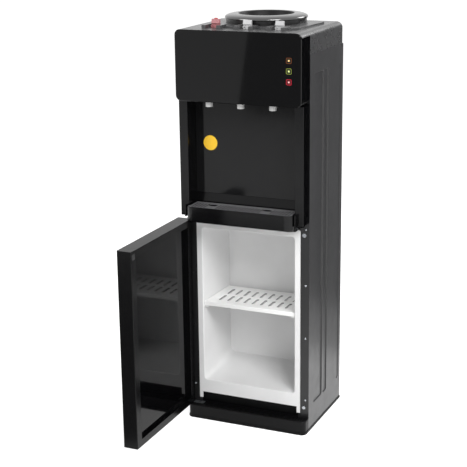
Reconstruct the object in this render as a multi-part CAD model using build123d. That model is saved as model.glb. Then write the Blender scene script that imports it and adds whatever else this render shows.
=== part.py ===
from build123d import *
import math
import os

# Free-standing water dispenser: the bottle stands in a seat on top, and a cabinet fills the lower half.
# Millimetres. +X right, +Y back, +Z up, origin on the floor under the middle of the base.
# The door is drawn closed and then turned open about its hinge pin, which is how the machine is shown.

# ---- driving dimensions: the body ----
BODY_WIDTH = 310.0
HALF_WIDTH = BODY_WIDTH / 2
FACE_Y = -140.0            # front of the fascia jambs
STEEL_Y = -100.0           # front of the steel jambs beside the cabinet
BACK_Y = 127.0             # rear edge of the side panels
BASE_FRONT_Y = -127.0
BASE_TOP_Z = 34.0
FOOT_RIM = 1.5             # how far the foot rim stands out
FOOT_RIM_Z = 5.0
SHEET = 1.2
WALL = 2.5
PANEL_TOP_Z = 912.5
TOP_Z = 965.0
JAMB_RETURN = 27.0         # width of the folded front return, partly under the liner's flange
REAR_RETURN = 14.0

# ---- driving dimensions: the cabinet ----
OPENING_WIDTH = 238.0
OPENING_LOW_Z = 95.0
OPENING_HIGH_Z = 487.0
LINER_DEPTH = 147.0
LINER_LIP = 2.2            # rounding of the opening's edge
LINER_BACK_WIDTH = 226.0
LINER_BACK_LOW_Z = 118.0
LINER_BACK_HIGH_Z = 474.0
FLANGE_WIDTH = 266.6
FLANGE_LOW_Z = 62.0
FLANGE_HIGH_Z = 505.0
LINER_FRONT_Y = STEEL_Y - WALL
SHELF_TOP_Z = 299.0
SHELF_LIP = 10.0
SHELF_PLATE = 3.0
SLOTS_PER_ROW = 9
SLOT_PITCH = 21.7
SLOT_WIDTH = 7.0
SLOT_LENGTH = 38.0

# ---- driving dimensions: the door and its hinge ----
DOOR_WIDTH = 308.0
DOOR_THICK = 36.0
DOOR_LOW_Z = 35.0
DOOR_HIGH_Z = 507.0
DOOR_INNER_Y = -104.5      # inner face when closed
DOOR_LEFT_X = -154.0
DOOR_SIDE_RIM = 22.0
DOOR_END_RIM = 17.0
DOOR_POCKET = 12.0
PIN_X = -149.5
PIN_Y = -108.5
PIN_RADIUS = 2.5
PIN_DEPTH = 11.0
RUNNING = 0.05             # radial clearance of a pin in its hole

# ---- driving dimensions: fascia, alcove and drip tray ----
FASCIA_LOW_Z = 511.0
HEAD_LOW_Z = 801.0
JAMB_LOW_Z = 525.0         # the fascia's jambs end above the drip tray's underside
ALCOVE_HALF = 133.5
FASCIA_BACK_Y = -93.0      # front of the alcove's back wall
DECK_THICK = 4.0
TRAY_FRONT_Y = -162.0
TRAY_BACK_Y = -99.0
TRAY_HALF = 135.5
TRAY_INNER_HALF = 131.5
TRAY_LOW_Z = 515.0
TRAY_RIM_Z = 552.0
TRAY_CORNER = 22.0
GRILLE_TOP_Z = 550.5
GRILLE_THICK = 3.0

# ---- driving dimensions: head, keys and taps ----
HEAD_FRONT_Y = -155.0
HEAD_PANEL_THICK = 4.0
HEAD_CORNER = 13.0
HEAD_ROOF_Z = 955.0
TAP_PITCH = 79.0
TAP_Y = -135.0
ROD_Y = -100.0
ROD_RADIUS = 3.0
NOZZLE_RADIUS = 8.5
NOZZLE_LOW_Z = 788.5
KEY_HALF = 10.0
KEY_GAP = 0.7
KEY_TOE_Y = -104.5         # a toe under the cover's skin reaches forward over the rod
KEY_FRONT_Y = -97.0
KEY_BACK_Y = -88.0
KEY_LOW_Z = 960.0
PADDLE_TOP_Z = 984.0
COVER_SKIN = 2.0
COVER_ROUNDING = 14.0
COVER_SEAM = 0.8           # groove between the cover's skirt and the side panels
GUARD_HALF = 24.0          # U-shaped guard round each key
GUARD_INNER_HALF = 13.5
GUARD_FRONT_Y = -120.0
GUARD_BACK_Y = -84.0
GUARD_TOP_Z = 972.5
AXLE_Y = -89.5
AXLE_Z = 957.5
AXLE_RADIUS = 1.5
LENS_X = 125.0
LENS_SIZE = 13.0
LENS_Z = {"lens_heating": 905.0, "lens_cooling": 881.5, "lens_power": 857.5}

# ---- driving dimensions: bottle seat and tanks ----
SEAT_Y = 22.0
SEAT_RADIUS = 98.0
SEAT_MOUTH_RADIUS = 62.5
BAND_RADIUS = 95.0
PLATFORM_Z = 969.0
BAND_TOP_Z = 979.0
SEAT_TOP_Z = 989.3
SPIGOT_RADIUS = 29.0
SPIGOT_LOW_Z = 924.0
TANK_RADIUS = 52.0
TANK_LOW_Z = 795.0
TANK_TOP_Z = 930.0
UPPER_SHELF_Z = 780.0
LOWER_SHELF_Z = 596.0
HOT_X = -50.0
HOT_Y = 40.0
HOT_RADIUS = 45.0
HOT_TOP_Z = 742.0
FAN_Z = 860.0
FAN_Y = 108.0
FAN_DEPTH = 14.0
FAN_SIZE = 90.0
REAR_PANEL_Y = 124.6


# ---- small shape helpers ----
def block(x, y, z):
    """Box between pairs of limits."""
    size = [b - a for a, b in (x, y, z)]
    middle = [(a + b) / 2 for a, b in (x, y, z)]
    return Pos(*middle) * Box(*size)


def upright(x, y, radius, z0, z1):
    """Cylinder along Z."""
    return Pos(x, y, (z0 + z1) / 2) * Cylinder(radius, z1 - z0)


def along_y(x, z, radius, y0, y1):
    """Cylinder along Y."""
    return Pos(x, (y0 + y1) / 2, z) * Rot(90, 0, 0) * Cylinder(radius, y1 - y0)


def along_x(y, z, radius, x0, x1):
    """Cylinder along X."""
    return Pos((x0 + x1) / 2, y, z) * Rot(0, 90, 0) * Cylinder(radius, x1 - x0)


def rounded_plate(x, z, width, height, radius, y0, y1):
    """Plate facing the front, with rounded corners."""
    plane = Plane(origin=(x, y0, z), x_dir=(1, 0, 0), z_dir=(0, 1, 0))
    return extrude(plane * RectangleRounded(width, height, radius), amount=y1 - y0)


def flat_plate(x, y, width, depth, radius, z0, z1):
    """Plate lying flat, with rounded corners."""
    return extrude(Pos(x, y, z0) * RectangleRounded(width, depth, radius), amount=z1 - z0)


def across(points, x0, x1):
    """Prism along X whose outline is given as (y, z) points."""
    outline = Plane.YZ * Polyline(*points, close=True)
    return extrude(Pos(x0, 0, 0) * make_face(outline), amount=x1 - x0, dir=(1, 0, 0))


def edges_along(shape, axis, **limits):
    """Edges parallel to an axis whose middles lie inside the given limits."""
    chosen = shape.edges().filter_by(axis)
    for name, (low, high) in limits.items():
        chosen = ShapeList([e for e in chosen if low <= getattr(e.center(), name) <= high])
    return chosen


# ---- base ----
def base_pan():
    """Moulded pan: foot rim, apron with rounded front corners, deck behind it and stiffening ribs."""
    rim = block((-HALF_WIDTH - FOOT_RIM, HALF_WIDTH + FOOT_RIM),
                (BASE_FRONT_Y - FOOT_RIM, BACK_Y + FOOT_RIM), (0, FOOT_RIM_Z))
    rim = fillet(edges_along(rim, Axis.Z, Y=(-200, 0)), 13.5)
    apron = block((-HALF_WIDTH, HALF_WIDTH), (BASE_FRONT_Y, BACK_Y), (0, BASE_TOP_Z))
    apron = fillet(edges_along(apron, Axis.Z, Y=(-200, 0)), 12)
    apron = fillet(edges_along(apron, Axis.X, Y=(-200, 0), Z=(20, 40)), 2.5)
    step = HALF_WIDTH - SHEET
    for side in (-1, 1):
        x = sorted((side * step, side * (HALF_WIDTH + 5)))
        apron -= block(x, (STEEL_Y, BACK_Y + 5), (FOOT_RIM_Z, 50))
    apron -= block((-HALF_WIDTH, HALF_WIDTH), (REAR_PANEL_Y, BACK_Y + 5), (FOOT_RIM_Z, 50))
    pan = rim + apron
    pan -= block((-150.5, 150.5), (BASE_FRONT_Y + 3, REAR_PANEL_Y - 3), (3, 31))
    pan -= block((-150.5, 150.5), (-97, REAR_PANEL_Y - 3), (30, 50))
    for x in (-75, 0, 75):
        pan += block((x - 1.5, x + 1.5), (BASE_FRONT_Y + 2, REAR_PANEL_Y - 2), (2, 14))
    pan += block((-151, 151), (18, 21), (2, 14))
    pan -= bracket_plate(BASE_TOP_Z - WALL, BASE_TOP_Z + 1)
    for y in (-118, -107):
        pan -= block((-112, 122), (y - 1, y + 1), (BASE_TOP_Z - 1, BASE_TOP_Z + 1))
    wedge = ((-121, BASE_TOP_Z - 2.2), (-102, BASE_TOP_Z + 0.1), (-121, BASE_TOP_Z + 0.1))
    for x in (128, 134, 140, 146):
        pan -= across(wedge, x - 1.8, x + 1.8)
    return pan


def kick_plate():
    """Dark plate set back above the base, closing the front under the liner."""
    plate = block((-150, 150), (-88, -88 + SHEET), (BASE_TOP_Z - 3, FLANGE_LOW_Z + 6))
    foot = block((-150, 150), (-96.8, -88 + SHEET), (BASE_TOP_Z - 3, BASE_TOP_Z - 3 + SHEET))
    shelf = block((-127, 127), (STEEL_Y + SHEET, -88 + SHEET), (FLANGE_LOW_Z + 6, FLANGE_LOW_Z + 6 + SHEET))
    return plate + foot + shelf


# ---- steel side panels ----
PRESSED_LOW_Z = 62.0
PRESSED_HIGH_Z = 868.0
PRESSED_FIELDS = ((-67.0, -8.0, 2.4), (-1.0, 25.0, 2.4), (98.0, 113.0, 1.4))
SCREW_X = 146.0
SCREW_Z = (80.0, 238.0, 370.0, 507.0)
SCREW_HOLE = 1.6
SCREW_HEAD = 2.6
STRIKE_X = 143.0
STRIKE_Z = 493.0
BUFFER_Z = 61.0
RETURN_ABOVE_DECK = 12.0   # the front return is narrower behind the fascia


def pressed_field(y0, y1, depth, grow, x_face):
    """Rounded field with sloping edges, pressed in from a vertical face at x_face."""
    plane = Plane(origin=(x_face, (y0 + y1) / 2, (PRESSED_LOW_Z + PRESSED_HIGH_Z) / 2),
                  x_dir=(0, 1, 0), z_dir=(-1, 0, 0))
    width = y1 - y0 + 2 * grow
    height = PRESSED_HIGH_Z - PRESSED_LOW_Z + 2 * grow
    return extrude(plane * RectangleRounded(width, height, 6), amount=depth, taper=45)


def side_panel_right():
    """Folded sheet: pressed side, front return that makes the steel jamb, and rear return."""
    inner = HALF_WIDTH - SHEET
    side = block((inner, HALF_WIDTH), (STEEL_Y, BACK_Y), (FOOT_RIM_Z, PANEL_TOP_Z))
    for y0, y1, depth in PRESSED_FIELDS:
        side += pressed_field(y0, y1, depth + SHEET, SHEET, HALF_WIDTH)
        side -= pressed_field(y0, y1, depth, 0, HALF_WIDTH)
    front = block((HALF_WIDTH - JAMB_RETURN, HALF_WIDTH), (STEEL_Y, STEEL_Y + SHEET),
                  (BASE_TOP_Z, PANEL_TOP_Z))
    rear = block((HALF_WIDTH - REAR_RETURN, HALF_WIDTH), (BACK_Y - SHEET, BACK_Y),
                 (FOOT_RIM_Z, PANEL_TOP_Z))
    front -= block((HALF_WIDTH - JAMB_RETURN - 1, HALF_WIDTH - RETURN_ABOVE_DECK), (STEEL_Y - 1, STEEL_Y + 5),
                   (FASCIA_LOW_Z, PANEL_TOP_Z + 1))
    panel = side + front + rear
    for z in SCREW_Z:
        panel -= along_y(SCREW_X, z, SCREW_HOLE, STEEL_Y - 1, STEEL_Y + 2)
    return panel


def side_panel_left():
    """Mirror image of the right panel."""
    return mirror(side_panel_right(), about=Plane.YZ)


def jamb_screws():
    """Pan-head screws in both steel jambs; the hinge bracket takes the place of the left one at the top."""
    places = [(SCREW_X, z) for z in SCREW_Z] + [(-SCREW_X, z) for z in SCREW_Z[:-1]]
    screws = []
    for x, z in places:
        head = along_y(x, z, SCREW_HEAD, STEEL_Y - 1.3, STEEL_Y)
        shank = along_y(x, z, SCREW_HOLE, STEEL_Y - 0.5, STEEL_Y + 5)
        screws.append(head + shank)
    return screws


def strike_plate():
    """Round steel plate on the right jamb that the door magnet meets."""
    return along_y(STRIKE_X, STRIKE_Z, 5.0, STEEL_Y - 1.6, STEEL_Y)


def door_buffer():
    """Round buffer low on the right jamb."""
    pad = along_y(STRIKE_X, BUFFER_Z, 4.5, STEEL_Y - 2.5, STEEL_Y)
    return fillet(pad.edges().filter_by(lambda e: e.center().Y < STEEL_Y - 2), 1)


def front_rail():
    """Steel rail joining the jambs behind the drip tray."""
    web = block((-153.8, 153.8), (STEEL_Y + SHEET, STEEL_Y + 2 * SHEET), (491, FASCIA_LOW_Z))
    lip = block((-141, 141), (STEEL_Y + SHEET, STEEL_Y + 16), (FASCIA_LOW_Z - SHEET, FASCIA_LOW_Z))
    rail = web + lip
    for side in (-1, 1):
        rail -= along_y(side * SCREW_X, SCREW_Z[-1], SCREW_HOLE, STEEL_Y, STEEL_Y + 5)
    return rail


# ---- rear panel and what passes through it ----
SWITCH_X = 112.0
SWITCH_Z = 700.0
SWITCH_PITCH = 26.0
GLAND_X = -112.0
GLAND_Z = 66.0
DRAIN_Z = 626.0


def rear_panel():
    """Sheet with fan openings, louvres, and holes for the drain, the switches and the cord gland."""
    sheet = block((-153.7, 153.7), (REAR_PANEL_Y, REAR_PANEL_Y + SHEET), (FOOT_RIM_Z, PANEL_TOP_Z))
    hole = (REAR_PANEL_Y - 1, REAR_PANEL_Y + SHEET + 1)
    for row in range(-4, 5):
        half = math.sqrt(40.0 ** 2 - (row * 8.6) ** 2)
        sheet -= block((-half, half), hole, (FAN_Z + row * 8.6 - 2.6, FAN_Z + row * 8.6 + 2.6))
    for row in range(6):
        z = 110 + row * 14
        sheet -= block((-60, 60), hole, (z - 2.5, z + 2.5))
    sheet -= along_y(HOT_X, DRAIN_Z, 9.5, *hole)
    sheet -= along_y(GLAND_X, GLAND_Z, 8.0, *hole)
    sheet -= block((SWITCH_X - 10, SWITCH_X + 10), hole, (SWITCH_Z - 27, SWITCH_Z + 27))
    return sheet


def cord_gland():
    """Grommet where the mains cord enters."""
    body = along_y(GLAND_X, GLAND_Z, 8.0, REAR_PANEL_Y - 5, REAR_PANEL_Y + 9)
    flange = along_y(GLAND_X, GLAND_Z, 11.0, REAR_PANEL_Y + SHEET, REAR_PANEL_Y + SHEET + 3)
    nut = along_y(GLAND_X, GLAND_Z, 11.0, REAR_PANEL_Y - 4, REAR_PANEL_Y)
    return body + flange + nut - along_y(GLAND_X, GLAND_Z, 3.6, REAR_PANEL_Y - 6, REAR_PANEL_Y + 10)


def switch_frame():
    """Moulded frame that holds the two rocker switches."""
    flange = rounded_plate(SWITCH_X, SWITCH_Z, 26, 62, 3, REAR_PANEL_Y + SHEET, REAR_PANEL_Y + SHEET + 1.5)
    body = block((SWITCH_X - 10, SWITCH_X + 10), (REAR_PANEL_Y - 12, REAR_PANEL_Y + SHEET + 0.5),
                 (SWITCH_Z - 27, SWITCH_Z + 27))
    frame = flange + body
    for side in (-1, 1):
        z = SWITCH_Z + side * SWITCH_PITCH / 2
        frame -= block((SWITCH_X - 7.5, SWITCH_X + 7.5), (REAR_PANEL_Y - 9, REAR_PANEL_Y + 9), (z - 11.6, z + 11.6))
        frame -= along_x(ROCKER_Y - 1, z, 1.5 + RUNNING, SWITCH_X - 9.2, SWITCH_X + 9.2)
    return frame


ROCKER_Y = REAR_PANEL_Y + 0.5


def rocker(side):
    """Rocker with two sloped faces and its cross pin."""
    z = SWITCH_Z + side * SWITCH_PITCH / 2
    profile = ((ROCKER_Y - 4, z - 9.5), (ROCKER_Y + 3.6, z - 10.4), (ROCKER_Y + 2.6, z),
               (ROCKER_Y + 5.4, z + 10.4), (ROCKER_Y - 4, z + 9.5))
    return across(profile, SWITCH_X - 6.8, SWITCH_X + 6.8) + along_x(ROCKER_Y - 1, z, 1.5, SWITCH_X - 9, SWITCH_X + 9)


# ---- cabinet liner and shelf ----
def tub(grow):
    """Tapered box from the front opening back, grown outward on every side."""
    low = (OPENING_LOW_Z + OPENING_HIGH_Z) / 2
    back_low = (LINER_BACK_LOW_Z + LINER_BACK_HIGH_Z) / 2
    front = Plane(origin=(0, LINER_FRONT_Y, low), x_dir=(1, 0, 0), z_dir=(0, 1, 0))
    back = Plane(origin=(0, LINER_FRONT_Y + LINER_DEPTH + grow, back_low), x_dir=(1, 0, 0), z_dir=(0, 1, 0))
    front_face = front * RectangleRounded(OPENING_WIDTH + 2 * grow, OPENING_HIGH_Z - OPENING_LOW_Z + 2 * grow,
                                          8 + grow)
    back_face = back * RectangleRounded(LINER_BACK_WIDTH + 2 * grow,
                                        LINER_BACK_HIGH_Z - LINER_BACK_LOW_Z + 2 * grow, 18 + grow)
    return loft([front_face, back_face])


def cabinet_liner():
    """White moulded tub with a flat flange, two short legs and a ledge on each side for the shelf."""
    outer = tub(WALL)
    flange = rounded_plate(0, (FLANGE_LOW_Z + FLANGE_HIGH_Z) / 2, FLANGE_WIDTH, FLANGE_HIGH_Z - FLANGE_LOW_Z,
                           4, LINER_FRONT_Y, STEEL_Y)
    legs = [block(sorted((side * 125, side * FLANGE_WIDTH / 2)), (LINER_FRONT_Y, STEEL_Y),
                  (FLANGE_LOW_Z - 16, FLANGE_LOW_Z + 8)) for side in (-1, 1)]
    liner = outer + flange + legs[0] + legs[1] - tub(0)
    mouth = liner.edges().filter_by(lambda e: abs(e.center().Y - LINER_FRONT_Y) < 0.01
                                    and abs(e.center().X) < OPENING_WIDTH / 2 + 1
                                    and OPENING_LOW_Z - 1 < e.center().Z < OPENING_HIGH_Z + 1)
    liner = fillet(mouth, LINER_LIP)
    ledge_top = SHELF_TOP_Z - SHELF_LIP
    for side in (-1, 1):
        x = sorted((side * 108.5, side * 125))
        ledge = block(x, (LINER_FRONT_Y + 6, LINER_FRONT_Y + LINER_DEPTH - 6), (ledge_top - 4, ledge_top))
        liner += ledge & tub(WALL / 2)
    return liner


def shelf_half_width(y):
    """Half the clear width between the liner's walls at depth y, less a fitting gap."""
    share = (y - LINER_FRONT_Y) / LINER_DEPTH
    return (OPENING_WIDTH + share * (LINER_BACK_WIDTH - OPENING_WIDTH)) / 2 - 0.8


def cabinet_shelf():
    """Shelf with a turned-down front lip, side skirts and two rows of slots."""
    front_y = LINER_FRONT_Y + 5
    back_y = LINER_FRONT_Y + LINER_DEPTH - 8

    def outline(inset):
        return Polyline((-shelf_half_width(front_y) + inset, front_y + inset),
                        (shelf_half_width(front_y) - inset, front_y + inset),
                        (shelf_half_width(back_y) - inset, back_y - inset),
                        (-shelf_half_width(back_y) + inset, back_y - inset), close=True)

    low_z = SHELF_TOP_Z - SHELF_LIP
    shelf = extrude(Pos(0, 0, low_z) * make_face(outline(0)), amount=SHELF_LIP)
    shelf -= extrude(Pos(0, 0, low_z - 1) * make_face(outline(3)), amount=SHELF_LIP - SHELF_PLATE + 1)
    shelf = fillet(edges_along(shelf, Axis.X, Y=(-200, front_y + 1), Z=(SHELF_TOP_Z - 1, SHELF_TOP_Z + 1)), 1.5)
    first = -(SLOTS_PER_ROW - 1) / 2
    for row_y in (front_y + 40, front_y + 91):
        for number in range(SLOTS_PER_ROW):
            x = (first + number) * SLOT_PITCH
            slot = SlotOverall(SLOT_LENGTH, SLOT_WIDTH, rotation=90)
            shelf -= extrude(Pos(x, row_y, SHELF_TOP_Z - SHELF_LIP) * slot, amount=SHELF_LIP + 1)
    return shelf


# ---- front fascia, alcove and drip tray ----
def front_fascia():
    """One moulding: two hollow jambs, the alcove's back wall, the tray deck with cheeks, and a splash slope."""
    body = block((-HALF_WIDTH, HALF_WIDTH), (FACE_Y, STEEL_Y), (FASCIA_LOW_Z, HEAD_LOW_Z))
    body += block((-ALCOVE_HALF - WALL, ALCOVE_HALF + WALL), (STEEL_Y, FASCIA_BACK_Y + WALL),
                  (FASCIA_LOW_Z, HEAD_LOW_Z))
    body -= block((-ALCOVE_HALF, ALCOVE_HALF), (FACE_Y - 1, FASCIA_BACK_Y),
                  (FASCIA_LOW_Z + DECK_THICK, HEAD_LOW_Z + 1))
    for side in (-1, 1):
        x = sorted((side * (ALCOVE_HALF + WALL), side * (HALF_WIDTH - WALL)))
        body -= block(x, (FACE_Y + WALL, STEEL_Y + 1), (JAMB_LOW_Z + WALL, HEAD_LOW_Z - WALL))
        below = sorted((side * (ALCOVE_HALF + WALL), side * (HALF_WIDTH + 1)))
        body -= block(below, (FACE_Y - 1, STEEL_Y + 1), (FASCIA_LOW_Z - 1, JAMB_LOW_Z))
    body = fillet(edges_along(body, Axis.Z, Y=(FACE_Y - 1, FACE_Y + 1)), 1.2)
    body += flat_plate(0, -134, 2 * ALCOVE_HALF - 4, 26, 12.8, FASCIA_LOW_Z, FASCIA_LOW_Z + DECK_THICK)
    for side in (-1, 1):
        x = sorted((side * (TRAY_HALF + 1.5), side * (TRAY_HALF + 4.5)))
        body += block(x, (-151, FACE_Y + 1), (JAMB_LOW_Z, TRAY_RIM_Z))
    slope = ((FASCIA_BACK_Y + 0.5, TRAY_RIM_Z + 1), (FASCIA_BACK_Y - 6, TRAY_RIM_Z + 1),
             (FASCIA_BACK_Y - 1, TRAY_RIM_Z + 21), (FASCIA_BACK_Y + 0.5, TRAY_RIM_Z + 21))
    return body + across(slope, -ALCOVE_HALF - 0.5, ALCOVE_HALF + 0.5)


def alcove_panel():
    """Glossy panel lining the back of the alcove."""
    return block((-ALCOVE_HALF + 0.3, ALCOVE_HALF - 0.3), (FASCIA_BACK_Y - 2.5, FASCIA_BACK_Y),
                 (TRAY_RIM_Z + 22, HEAD_LOW_Z - 0.5))


def tray_outline(inset):
    """Plan of the drip tray: a wide front part with rounded corners and a narrower part between the jambs."""
    front = Pos(0, (TRAY_FRONT_Y + FACE_Y - 1) / 2) * Rectangle(2 * (TRAY_HALF - inset),
                                                               FACE_Y - 1 - TRAY_FRONT_Y - 2 * inset)
    rear = Pos(0, (FACE_Y - 12 + TRAY_BACK_Y) / 2) * Rectangle(2 * (TRAY_INNER_HALF - inset),
                                                              TRAY_BACK_Y - FACE_Y + 12 - 2 * inset)
    outline = front + rear
    corners = outline.vertices().filter_by(lambda v: v.Y < TRAY_FRONT_Y + inset + 1)
    return fillet(corners, min(TRAY_CORNER - inset, (FACE_Y - 1 - TRAY_FRONT_Y) - 2 * inset - 0.5))


def drip_tray():
    """Open tray with a ledge inside its rim for the grille."""
    tray = extrude(Pos(0, 0, TRAY_LOW_Z) * tray_outline(0), amount=TRAY_RIM_Z - TRAY_LOW_Z)
    low_edges = tray.edges().filter_by(lambda e: abs(e.center().Z - TRAY_LOW_Z) < 0.1 and e.center().Y < TRAY_FRONT_Y + 8)
    tray = fillet(low_edges, 3.5)
    tray -= extrude(Pos(0, 0, TRAY_LOW_Z + WALL) * tray_outline(4.5), amount=TRAY_RIM_Z)
    tray -= extrude(Pos(0, 0, GRILLE_TOP_Z - GRILLE_THICK) * tray_outline(2.2), amount=TRAY_RIM_Z)
    return tray


GRILLE_HOLES_X = (-78.0, 60.0)
GRILLE_HOLES_Y = -124.0


def drip_grille():
    """Plate on the tray's ledge with two oval drain holes and rows of narrow slots."""
    grille = extrude(Pos(0, 0, GRILLE_TOP_Z - GRILLE_THICK) * tray_outline(2.5), amount=GRILLE_THICK)
    low = GRILLE_TOP_Z - GRILLE_THICK - 1
    for x in GRILLE_HOLES_X:
        grille -= extrude(Pos(x, GRILLE_HOLES_Y, low) * Ellipse(11.5, 6.5), amount=GRILLE_THICK + 2)
    for number in range(-16, 17):
        x = number * 7.6
        if all(abs(x - hole) > 13 for hole in GRILLE_HOLES_X):
            grille -= block((x - 1.4, x + 1.4), (-152, -116), (low, GRILLE_TOP_Z + 1))
    return grille


# ---- head ----
def head_housing():
    """Shell behind the head panel, open at the top and back, with three outlet holes and three lens holes."""
    shell = block((-HALF_WIDTH + 0.4, HALF_WIDTH - 0.4), (HEAD_FRONT_Y + HEAD_PANEL_THICK, STEEL_Y),
                  (HEAD_LOW_Z, HEAD_ROOF_Z))
    shell = fillet(edges_along(shell, Axis.Y, Z=(HEAD_LOW_Z - 1, HEAD_LOW_Z + 1)), HEAD_CORNER)
    cavity = block((-HALF_WIDTH + 0.4 + WALL, HALF_WIDTH - 0.4 - WALL),
                   (HEAD_FRONT_Y + HEAD_PANEL_THICK + WALL, STEEL_Y + 1), (HEAD_LOW_Z + WALL, HEAD_ROOF_Z + 1))
    shell -= fillet(edges_along(cavity, Axis.Y, Z=(HEAD_LOW_Z, HEAD_LOW_Z + WALL + 1)), HEAD_CORNER - WALL)
    for x in (-TAP_PITCH, 0, TAP_PITCH):
        shell -= upright(x, TAP_Y, NOZZLE_RADIUS, HEAD_LOW_Z - 1, HEAD_LOW_Z + WALL + 1)
    for z in LENS_Z.values():
        half = LENS_SIZE / 2 - 2
        shell -= block((LENS_X - half, LENS_X + half), (HEAD_FRONT_Y, HEAD_FRONT_Y + 10), (z - half, z + half))
    return shell


def head_panel():
    """Glossy front plate with rounded corners, a chamfered edge and three square lens windows."""
    height = TOP_Z - HEAD_LOW_Z
    plate = rounded_plate(0, (TOP_Z + HEAD_LOW_Z) / 2, BODY_WIDTH, height, HEAD_CORNER, HEAD_FRONT_Y,
                          HEAD_FRONT_Y + HEAD_PANEL_THICK)
    front_edges = plate.edges().filter_by(lambda e: abs(e.center().Y - HEAD_FRONT_Y) < 0.01)
    plate = chamfer(front_edges, 1.2)
    for z in LENS_Z.values():
        plate -= rounded_plate(LENS_X, z, LENS_SIZE + 0.2, LENS_SIZE + 0.2, 2.6, HEAD_FRONT_Y - 1,
                               HEAD_FRONT_Y + HEAD_PANEL_THICK + 1)
    return plate


def lens(z):
    """Square indicator lens in the head panel, its light pipe ending at the housing wall."""
    return rounded_plate(LENS_X, z, LENS_SIZE, LENS_SIZE, 2.5, HEAD_FRONT_Y + 0.3, HEAD_FRONT_Y + HEAD_PANEL_THICK)


def top_cover():
    """Moulded lid: deep skirt on the body, thin roof over the head, key slots and the raised seat platform."""
    front_y = HEAD_FRONT_Y + HEAD_PANEL_THICK
    cover = block((-HALF_WIDTH, HALF_WIDTH), (front_y, BACK_Y), (PANEL_TOP_Z, TOP_Z))
    cover = fillet(edges_along(cover, Axis.Z, Y=(BACK_Y - 1, BACK_Y + 1)), 9)
    top_edges = cover.edges().filter_by(
        lambda e: abs(e.center().Z - TOP_Z) < 0.01 and e.center().Y > front_y + 1)
    cover = fillet(top_edges, COVER_ROUNDING)
    cover -= block((-HALF_WIDTH - 1, HALF_WIDTH + 1), (front_y - 1, STEEL_Y), (PANEL_TOP_Z - 1, HEAD_ROOF_Z))
    cavity = flat_plate(0, (STEEL_Y + BACK_Y) / 2, BODY_WIDTH - 8, BACK_Y - STEEL_Y - 8, 18,
                        PANEL_TOP_Z - 1, TOP_Z - 4)
    cavity_top = cavity.edges().filter_by(lambda e: abs(e.center().Z - TOP_Z + 4) < 0.01)
    cover -= fillet(cavity_top, COVER_ROUNDING - 4)
    groove = block((-HALF_WIDTH - 1, HALF_WIDTH + 1), (STEEL_Y - 1, BACK_Y + 1),
                   (PANEL_TOP_Z - 1, PANEL_TOP_Z + COVER_SEAM))
    groove -= block((-HALF_WIDTH + COVER_SEAM, HALF_WIDTH - COVER_SEAM), (STEEL_Y - 2, BACK_Y - COVER_SEAM),
                    (PANEL_TOP_Z - 2, PANEL_TOP_Z + 2))
    cover -= groove
    cover += extrude(Pos(0, 0, TOP_Z - 2) * platform_outline(), amount=PLATFORM_Z - TOP_Z + 2)
    cover -= upright(0, SEAT_Y, BAND_RADIUS - 6, PANEL_TOP_Z, PLATFORM_Z + 1)
    for x in (-TAP_PITCH, 0, TAP_PITCH):
        cover = cover + key_guard(x) - key_slot(x)
    return cover - along_x(AXLE_Y, AXLE_Z, AXLE_RADIUS, -TAP_PITCH - 18, TAP_PITCH + 18)


def platform_outline():
    """Plan of the raised platform: narrower at the front, with a round lobe under the seat."""
    plan = make_face(Polyline((-132, 64), (132, 64), (121, -82), (106, -98), (-106, -98), (-121, -82), close=True))
    plan = fillet(plan.vertices(), 9)
    return plan + Pos(0, SEAT_Y) * Circle(BAND_RADIUS + 1)


def key_guard(x):
    """Raised guard round a key, with a lug under the cover on each side for the axle."""
    guard = block((x - GUARD_HALF, x + GUARD_HALF), (GUARD_FRONT_Y, GUARD_BACK_Y), (TOP_Z - 2, GUARD_TOP_Z))
    guard = fillet(edges_along(guard, Axis.Z), 3)
    guard -= block((x - GUARD_INNER_HALF, x + GUARD_INNER_HALF), (GUARD_FRONT_Y - 1, GUARD_BACK_Y - 3),
                   (TOP_Z, GUARD_TOP_Z + 1))
    for side in (-1, 1):
        edge = x + side * (KEY_HALF + KEY_GAP)
        guard += block(sorted((edge, edge + side * 5)), (AXLE_Y - 4, AXLE_Y + 4), (AXLE_Z - 4, TOP_Z - 1))
    return guard


def key_slot(x):
    """Opening through the cover for one key, wider under the skin where the key's toe moves."""
    half = KEY_HALF + KEY_GAP
    opening = block((x - half, x + half), (KEY_FRONT_Y - 4, GUARD_BACK_Y - 3), (PANEL_TOP_Z, GUARD_TOP_Z + 1))
    return opening + block((x - half, x + half), (KEY_TOE_Y - 4, AXLE_Y + 5.5), (PANEL_TOP_Z, TOP_Z - COVER_SKIN))


# ---- keys, rods and taps ----
def key(x):
    """Push key: hub on the axle, toe over the rod, front with two recesses, a groove and a paddle."""
    side = ((KEY_TOE_Y, KEY_LOW_Z), (KEY_TOE_Y, KEY_LOW_Z + 2.6), (KEY_FRONT_Y, KEY_LOW_Z + 2.6),
            (KEY_FRONT_Y, 970.8), (KEY_BACK_Y - 4, 971.6), (KEY_BACK_Y - 4, 973.4), (KEY_FRONT_Y + 1.5, 974.4),
            (KEY_FRONT_Y + 4.5, PADDLE_TOP_Z), (KEY_BACK_Y, PADDLE_TOP_Z), (KEY_BACK_Y, AXLE_Z),
            (KEY_BACK_Y - 3, AXLE_Z), (KEY_BACK_Y - 6, KEY_LOW_Z))
    body = across(side, x - KEY_HALF, x + KEY_HALF)
    body = fillet(edges_along(body, Axis.X, Z=(PADDLE_TOP_Z - 1, PADDLE_TOP_Z + 1)), 0.8)
    body += along_x(AXLE_Y, AXLE_Z, 4, x - KEY_HALF, x + KEY_HALF)
    for offset in (-4.7, 4.7):
        body -= along_y(x + offset, 967, 2.2, KEY_FRONT_Y - 1, KEY_FRONT_Y + 2)
    return body - along_x(AXLE_Y, AXLE_Z, AXLE_RADIUS + RUNNING, x - 20, x + 20)


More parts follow.
